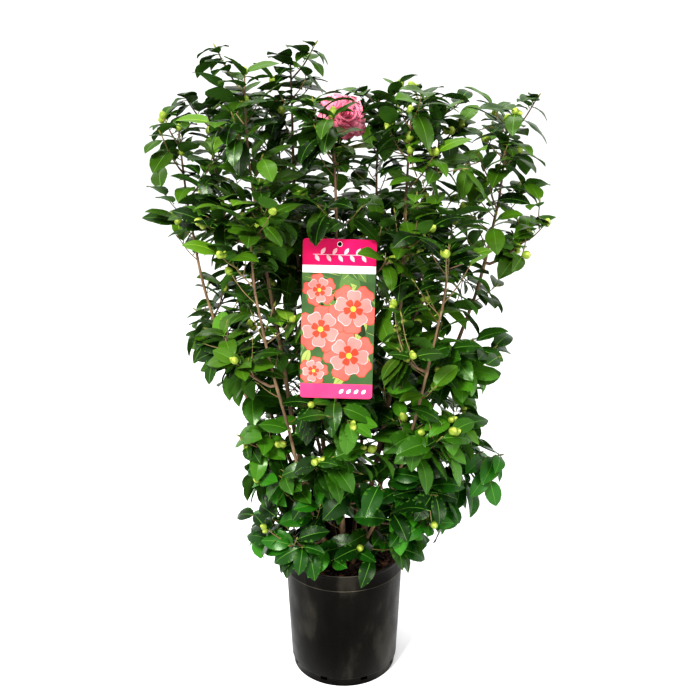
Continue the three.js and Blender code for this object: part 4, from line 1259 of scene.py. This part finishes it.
def add_bloom():
    pile = Pile()
    draw = seeded(SEEDS["bloom"])
    face = place.bloom_face
    across = square_on(face, UP)
    other = np.cross(face, across)
    centre = place.bloom_at - face * 14
    for level, (count, length, width, opening, paint) in enumerate(WHORLS):
        for k in range(count):
            angle = 2 * math.pi * (k + 0.5 * (level % 2) + 0.25 * (draw() - 0.5)) / count
            out = across * math.cos(angle) + other * math.sin(angle)
            size = 0.9 + 0.16 * draw()
            tilt = math.radians(opening + 12 * (draw() - 0.5))
            foot = centre + face * level * 1.6
            add_petal(pile, foot, out, face, length * size, width * size, tilt, paint, draw)
    add_piece(pile, "bloom", petal_materials, "foliage", f"foliage_top_{BLOOM['bough']}")


add_bloom()

# ---- Pot and soil ----


def pot_material(name, dark, middle, light):
    """Black satin plastic with smears, scuffs and a fine grain."""
    material, tree, shader = new_material(name, tint(middle), 0.4, Specular_IOR_Level=0.05)
    shader.inputs["Specular Tint"].default_value = (1, 0.94, 0.84, 1)
    smears = noise_node(tree, 14, 5, stretch=(1, 1, 0.4))
    drive(tree, shader, "Base Color", smears, stops((0.42, 0.56, 0.66), dark, middle, light))
    drive(tree, shader, "Roughness", noise_node(tree, 16, 6), [(0.35, 0.24), (0.65, 0.4)])
    add_bump(tree, shader, noise_node(tree, 420, 3), 0.0004, 0.35)
    return material


POT_SIDES = 128
# Bands of the profile painted paler as a sheen: over the foot, on the bead and on the rim.
POT_SHEEN_BANDS = (4, 5, 11, 12, 13, 19)


def pot_profile():
    """Radius and height, from the middle of the underside over the rim to the middle of the floor."""
    foot, step, rim, high, wall = (POT[key] for key in ("foot", "foot_height", "rim", "height", "wall"))
    band = high - POT["band"]
    under = wall_radius(band)
    return [
        (0, 0.6),
        (foot - 9, 0.6),
        (foot - 8, 0),
        (foot - 1.2, 0),
        (foot, 1.2),
        (foot + 0.8, step - 0.6),
        (foot + 1.1, step),
        (wall_radius(step) - 1, step + 1.4),
        (wall_radius(step), step + 3),
        (wall_radius(110), 110),
        (wall_radius(200), 200),
        (under - 0.3, band - 3),
        (under - 0.1, band - 0.4),
        (under + 1.7, band),
        (under + 2.0, band + 1.1),
        (under + 1.7, band + 2.2),
        (under + 1.3, band + 3.2),
        (rim - 0.9, high - 8),
        (rim - 0.7, high - 6.6),
        (rim - 0.05, high - 5.6),
        (rim, high - 1.3),
        (rim - 0.5, high - 0.3),
        (rim - 1.3, high),
        (rim - wall + 0.5, high - 0.2),
        (rim - wall, high - 1),
        (under - wall, band),
        (foot - wall, POT["floor"] + 8),
        (foot - wall - 8, POT["floor"]),
        (0, POT["floor"]),
    ]


def add_turned(pile, profile, sides, sheen_bands=()):
    """A closed turned form; its profile starts and ends on the axis. Bands of painted sheen have the second
    material.
    """
    inner = np.array(profile[1:-1], float)
    ring = turned_rings(inner[:, 0], inner[:, 1], sides)
    paints = np.repeat(np.isin(np.arange(len(inner) - 1), sheen_bands).astype(int), sides)
    pile.add_rings(ring, (0, 0, profile[0][1]), (0, 0, profile[-1][1]), 0, paints)


def box_at(pile, centre, half, angle):
    """An upright box turned about the pot's axis, for cutting."""
    corners = np.array([(x, y, z) for x in (-1, 1) for y in (-1, 1) for z in (-1, 1)], float) * half
    corners[:, 0] += centre[0]
    corners[:, 2] += centre[2]
    c, s = math.cos(angle), math.sin(angle)
    turned = corners @ np.array([[c, s, 0], [-s, c, 0], [0, 0, 1]])
    faces = [(0, 1, 3, 2), (4, 6, 7, 5), (0, 4, 5, 1), (2, 3, 7, 6), (0, 2, 6, 4), (1, 5, 7, 3)]
    pile.add(turned, (faces, 0))


def add_pot():
    pile = Pile()
    add_turned(pile, pot_profile(), POT_SIDES, POT_SHEEN_BANDS)
    # The second plastic is paler: a painted sheen on the foot, the bead and the rim.
    plastics = [
        pot_material("pot_plastic", "050403", "0B0A08", "24221D"),
        pot_material("pot_edge", "24221D", "34312A", "4A463D"),
    ]
    pot = add_piece(pile, "pot_shell", plastics, "pot", "pot")
    cutters = Pile()
    for i in range(DRAIN["count"]):
        angle = 2 * math.pi * (i + 0.5) / DRAIN["count"]
        centre = (POT["foot"] - 0.5, 0, POT["foot_height"] - DRAIN["height"] / 2 + 1)
        box_at(cutters, centre, (1.5 * POT["wall"], DRAIN["width"] / 2, DRAIN["height"] / 2), angle)
    cutter = new_object("drain_cutter", cutters.mesh("drain_cutter", []))
    cut = pot.modifiers.new("drain", "BOOLEAN")
    cut.operation, cut.object, cut.solver = "DIFFERENCE", cutter, "EXACT"
    bpy.context.view_layer.update()
    made = bpy.data.meshes.new_from_object(pot.evaluated_get(bpy.context.evaluated_depsgraph_get()))
    pot.modifiers.clear()
    pot.data = made
    bpy.data.objects.remove(cutter)
    made.polygons.foreach_set("use_smooth", np.full(len(made.polygons), True))
    made.set_sharp_from_angle(angle=math.radians(38))


add_pot()

CHIPS = [("1E0E08", "34180D"), ("30180C", "50290F"), ("4A2711", "7C4A25")]
CHIP_SHARES = (0.5, 0.38, 0.12)
CHIP_COUNT = 430
SOIL_RADIUS = wall_radius(POT["height"] - POT["band"]) - POT["wall"] - 0.8
SOIL_RINGS, SOIL_SIDES = 26, 96
chip_materials = [
    mottled_material(f"chip_{i}", stops((0.3, 0.7), *pair), 0.85, 120, 0.0015, 300, stretch=(1, 0.4, 1))
    for i, pair in enumerate(CHIPS)
]
peat = mottled_material("peat", stops((0.3, 0.55, 0.8), "120703", "261108", "442010"), 0.95, 160, 0.004, 220)


def add_peat():
    """A lumpy surface that is smooth against the pot, over a plain filling."""
    lumps, grit = Noise(9, 34), Noise(10, 9)
    out = np.linspace(4, SOIL_RADIUS, SOIL_RINGS)
    flat = turned_rings(out, np.zeros(SOIL_RINGS), SOIL_SIDES)
    crown = SOIL_LEVEL - 2.5 * np.clip((out - 60) / (SOIL_RADIUS - 60), 0, 1)[:, None]
    rough = (1.0 * lumps(flat) + 0.8 * grit(flat)) * np.clip((SOIL_RADIUS - out) / 12, 0, 1)[:, None]
    surface = np.dstack([flat[:, :, :2], crown + rough - 2.2])
    floor = POT["floor"]
    low = [(20, floor + 2), (wall_radius(20) - 10, floor + 12), (SOIL_RADIUS - 2.5, SOIL_LEVEL - 45)]
    below = turned_rings(*zip(*low), SOIL_SIDES)
    pile = Pile()
    pile.add_rings([*below, *surface[::-1]], (0, 0, floor + 2), (0, 0, SOIL_LEVEL - 2))
    add_piece(pile, "peat", [peat], "soil", "soil")


def add_chips():
    """Flakes of bark strewn over the peat."""
    chips = Pile()
    draw = np.random.default_rng(SEEDS["chips"])
    for _ in range(CHIP_COUNT):
        reach = (SOIL_RADIUS - 7) * math.sqrt(draw.uniform(0.002, 1))
        angle = draw.uniform(0, 2 * math.pi)
        centre = vec(reach * math.cos(angle), reach * math.sin(angle), SOIL_LEVEL - 1.5 + draw.uniform(0, 4))
        length, width, thick = draw.uniform(6, 13), draw.uniform(3, 6.5), draw.uniform(1.2, 2.6)
        length = min(length, SOIL_RADIUS - reach - 1)
        up = unit(draw.normal(size=3) * vec(0.35, 0.35, 0.1) + UP)
        one = square_on(up, draw.normal(size=3))
        other = np.cross(up, one)
        corners = int(draw.integers(5, 8))
        turn = circle(corners)
        ragged = draw.uniform(0.75, 1.1, corners)
        flat = one * (np.cos(turn) * length * ragged)[:, None]
        flat = flat + other * (np.sin(turn) * width * ragged)[:, None]
        levels = [(-thick, 0.82), (-thick * 0.5, 1.0), (thick * 0.5, 0.97), (thick, 0.72)]
        rings = [centre + flat * size + up * lift for lift, size in levels]
        paint = int(draw.choice(3, p=CHIP_SHARES))
        chips.add_rings(rings, centre - up * thick, centre + up * thick, paint)
    add_piece(chips, "bark_chips", chip_materials, "soil", smooth=False)


add_peat()
add_chips()

# ---- Label: a card with bands of colour and plain drawings of blossoms and leaves ----

CARD_UP, CARD_FACE = -card["down"], card["face"]
CARD_RIGHT = np.cross(CARD_UP, CARD_FACE)
INK = 0.05  # thickness of one layer of print
# Bands from the card's top: their heights and inks.
BANDS = [(52, "pink"), (15, "white"), (221.5, "green"), (29.5, "blush")]
INKS = {
    "white": ("D8D6D2", "E2E0DC"),
    "pink": ("B80E4E", "C01454"),
    "blush": ("C43866", "CC426E"),
    "pale": ("D0A0A2", "D6ACAE"),
    "green": ("384E2E", "425E36"),
    "moss": ("4A6434", "56723E"),
    "lime": ("84904C", "949E58"),
    "dark": ("202E1A", "283820"),
    "coral": ("C0544A", "C86056"),
    "rose": ("C4706A", "CA7C76"),
    "deep": ("AE3A28", "B84632"),
    "gold": ("C89838", "D8AC50"),
}
FOLIAGE_COUNT = 46
FOLIAGE_INKS = ("moss", "lime", "dark", "moss", "green")
# Blossoms: middle, size and turn.
BLOSSOMS = [
    (30, 22, 52, 0.9), (-34, -20, 50, 0.2), (24, -72, 54, 0.55), (-38, 58, 34, 0.5), (-46, -104, 30, 0.1),
]
# Their rings of five petals: share of the size, and ink.
BLOSSOM_RINGS = [(1.0, "coral"), (0.74, "rose"), (0.4, "deep")]
ink_names = list(INKS)
inks = [
    mottled_material(f"ink_{name}", stops((0.3, 0.7), *pair), 0.34, 30, 0.0002, 60, Specular_IOR_Level=0.12)
    for name, pair in INKS.items()
]


def add_sheet(pile, loops, low, high, ink):
    """A flat form on the card between two heights; loops are its outline and its holes."""
    corners = [[Vector((x, y, 0)) for x, y in loop] for loop in loops]
    flat = [corner for loop in corners for corner in loop]
    triangles = np.array(tessellate_polygon(corners))
    a, b, c = (np.array([flat[i].xy for i in triangles[:, k]]) for k in range(3))
    turns = (b - a)[:, 0] * (c - a)[:, 1] - (b - a)[:, 1] * (c - a)[:, 0]
    triangles[turns < 0] = triangles[turns < 0][:, ::-1]
    total = len(flat)
    points = [
        card["centre"] + CARD_RIGHT * p.x + CARD_UP * p.y + CARD_FACE * lift
        for lift in (low, high)
        for p in flat
    ]
    walls, start = [], 0
    for loop in loops:
        ring = [start + k for k in range(len(loop))]
        walls += [(i, j, j + total, i + total) for i, j in zip(ring, ring[1:] + ring[:1])]
        start += len(loop)
    paint = ink_names.index(ink)
    pile.add(points, (triangles + total, paint), (triangles[:, ::-1], paint), (walls, paint))


def rounded_corners(width, height, corner, steps=6):
    outline = []
    for k, (sx, sy) in enumerate(((1, -1), (1, 1), (-1, 1), (-1, -1))):
        for step in range(steps + 1):
            angle = math.pi / 2 * (k - 1 + step / steps)
            x = sx * (width / 2 - corner) + corner * math.cos(angle)
            outline.append((x, sy * (height / 2 - corner) + corner * math.sin(angle)))
    return outline


def clipped(outline, box):
    """The part of an outline inside a box (left, right, low, high)."""
    for axis, limit, sign in ((0, box[0], 1), (0, box[1], -1), (1, box[2], 1), (1, box[3], -1)):
        kept = []
        for a, b in zip(outline, outline[1:] + outline[:1]):
            ins, ons = sign * (a[axis] - limit), sign * (b[axis] - limit)
            if ins >= 0:
                kept.append(a)
            if ins * ons < 0:
                share = ins / (ins - ons)
                kept.append((a[0] + (b[0] - a[0]) * share, a[1] + (b[1] - a[1]) * share))
        outline = kept
        if len(outline) < 3:
            return None
    return outline


def turned_outline(outline, angle, centre):
    c, s = math.cos(angle), math.sin(angle)
    return [(centre[0] + x * c - y * s, centre[1] + x * s + y * c) for x, y in outline]


def leaf_outline(length, width, steps=9):
    upper = [(length * k / steps, width / 2 * math.sin(math.pi * k / steps) ** 0.9) for k in range(steps + 1)]
    return [(x, -y) for x, y in upper] + [(x, y) for x, y in reversed(upper[1:-1])]


def petal_outline(length, width, steps=14):
    """A rounded petal with a shallow notch in its far edge."""
    outline = []
    for k in range(steps):
        turn = 2 * math.pi * k / steps
        notch = length * 0.09 * math.exp(-(((turn - math.pi) / 0.35) ** 2))
        x = length * (0.52 - 0.48 * math.cos(turn)) - notch
        outline.append((x, -width / 2 * math.sin(turn) * (0.62 - 0.38 * math.cos(turn))))
    return outline


def add_label():
    half_width, half_height = LABEL["width"] / 2, LABEL["length"] / 2
    face = LABEL["thickness"] / 2
    card_outline = rounded_corners(LABEL["width"], LABEL["length"], LABEL["corner"])
    turns = [2 * math.pi * k / 20 for k in range(20)]
    radius = LABEL["hole"]
    hole_at = half_height - LABEL["hole_depth"]
    hole = [(radius * math.cos(t), hole_at - radius * math.sin(t)) for t in turns]
    pile = Pile()
    add_sheet(pile, [card_outline, hole], -face, face, "white")
    layer = 0

    def add_print(outline, box, ink, holes=()):
        outline = clipped(outline, box)
        if outline:
            add_sheet(pile, [outline, *holes], face - 0.02, face + INK * layer + INK, ink)

    high = half_height
    boxes = []
    for height, ink in BANDS:
        box = (-half_width, half_width, high - height, high)
        boxes.append(box)
        if ink != "white":
            ring = [(radius * 1.25 * math.cos(t), hole_at - radius * 1.25 * math.sin(t)) for t in turns]
            add_print(card_outline, box, ink, [ring] if high == half_height else [])
        high -= height
    header, _, picture, footer = boxes
    draw = seeded(SEEDS["print"])
    layer = 1
    for k in range(FOLIAGE_COUNT):
        x = half_width * (2.3 * draw() - 1.15)
        centre = (x, picture[2] + (picture[3] - picture[2]) * (1.1 * draw() - 0.05))
        shape = leaf_outline(34 + 26 * draw(), 15 + 9 * draw())
        angle = 2 * math.pi * draw()
        layer = 1 + k * 0.15
        add_print(turned_outline(shape, angle, centre), picture, FOLIAGE_INKS[k % 5])
        layer += 0.1
        vein = leaf_outline(30, 1.1)
        add_print(turned_outline(vein, angle, centre), picture, "lime" if k % 5 != 1 else "moss")
    for x, y, size, start in BLOSSOMS:
        for ring, (share, ink) in enumerate(BLOSSOM_RINGS):
            for k in range(5):
                angle = start + 2 * math.pi * (k + 0.5 * ring) / 5
                layer = 9 + ring * 2 + k * 0.3
                if ring < 2:
                    border = petal_outline(size * share + 1.4, size * share + 1.4)
                    add_print(turned_outline(border, angle, (x, y)), picture, "pale" if ring else "deep")
                layer += 0.15
                shape = petal_outline(size * share, size * share * 0.98)
                add_print(turned_outline(shape, angle, (x, y)), picture, ink)
        layer = 16
        disc = [(x + size * 0.11 * math.cos(t), y + size * 0.11 * math.sin(t)) for t in turns]
        add_print(disc, picture, "gold")
    layer = 1
    add_print([(-52, 127.5), (52, 127.5), (52, 128.7), (-52, 128.7)], header, "pale")
    for k in range(9):
        shape = leaf_outline(16, 7.5)
        angle = math.radians(58 if k % 2 else -58)
        add_print(turned_outline(shape, angle, (-48 + k * 11.5, 128.1)), header, "pale")
    for k in range(4):
        add_print(turned_outline(leaf_outline(12, 7), math.pi / 4, (6 + k * 15, -149)), footer, "white")
    add_piece(pile, "label_card", inks, "label", "label", smooth=False)


add_label()

# ---- Floor and light ----


def add_floor():
    mesh = bpy.data.meshes.new("floor")
    mesh.from_pydata([(-9, -6, 0), (9, -6, 0), (9, 12, 0), (-9, 12, 0)], [], [(0, 1, 2, 3)])
    floor = new_object("floor", mesh)
    material, tree, shader = new_material("floor", (0.93, 0.93, 0.93, 1), 0.9)
    add_bump(tree, shader, noise_node(tree, 60), 0.0002, 0.1)
    mesh.materials.append(material)


def add_area(name, place, aim, size, power):
    data = bpy.data.lights.new(name, "AREA")
    data.shape, data.size, data.energy = "DISK", size, power
    light = new_object(name, data)
    light.location = place
    light.rotation_euler = (Vector(aim) - Vector(place)).to_track_quat("-Z", "Y").to_euler()


# Each area light: place, what it aims at, size, power.
LIGHTS = {
    "key": ((-1.3, -2.4, 3.0), (0, 0, 0.8), 0.9, 180),
    "fill": ((2.4, -2.2, 1.8), (0, 0, 0.7), 1.2, 42),
    "top": ((0.2, 0.6, 4.2), (0, 0, 0.8), 1.6, 45),
}


def add_light():
    world = bpy.data.worlds.new("studio")
    world.use_nodes = True
    world.node_tree.nodes["Background"].inputs["Color"].default_value = (1, 1, 1, 1)
    world.node_tree.nodes["Background"].inputs["Strength"].default_value = 1
    bpy.context.scene.world = world
    for name, (spot, aim, size, power) in LIGHTS.items():
        add_area(name, spot, aim, size, power)
    view = bpy.context.scene.view_settings
    view.view_transform = "Standard"
    view.look = "Medium High Contrast"


add_floor()
add_light()
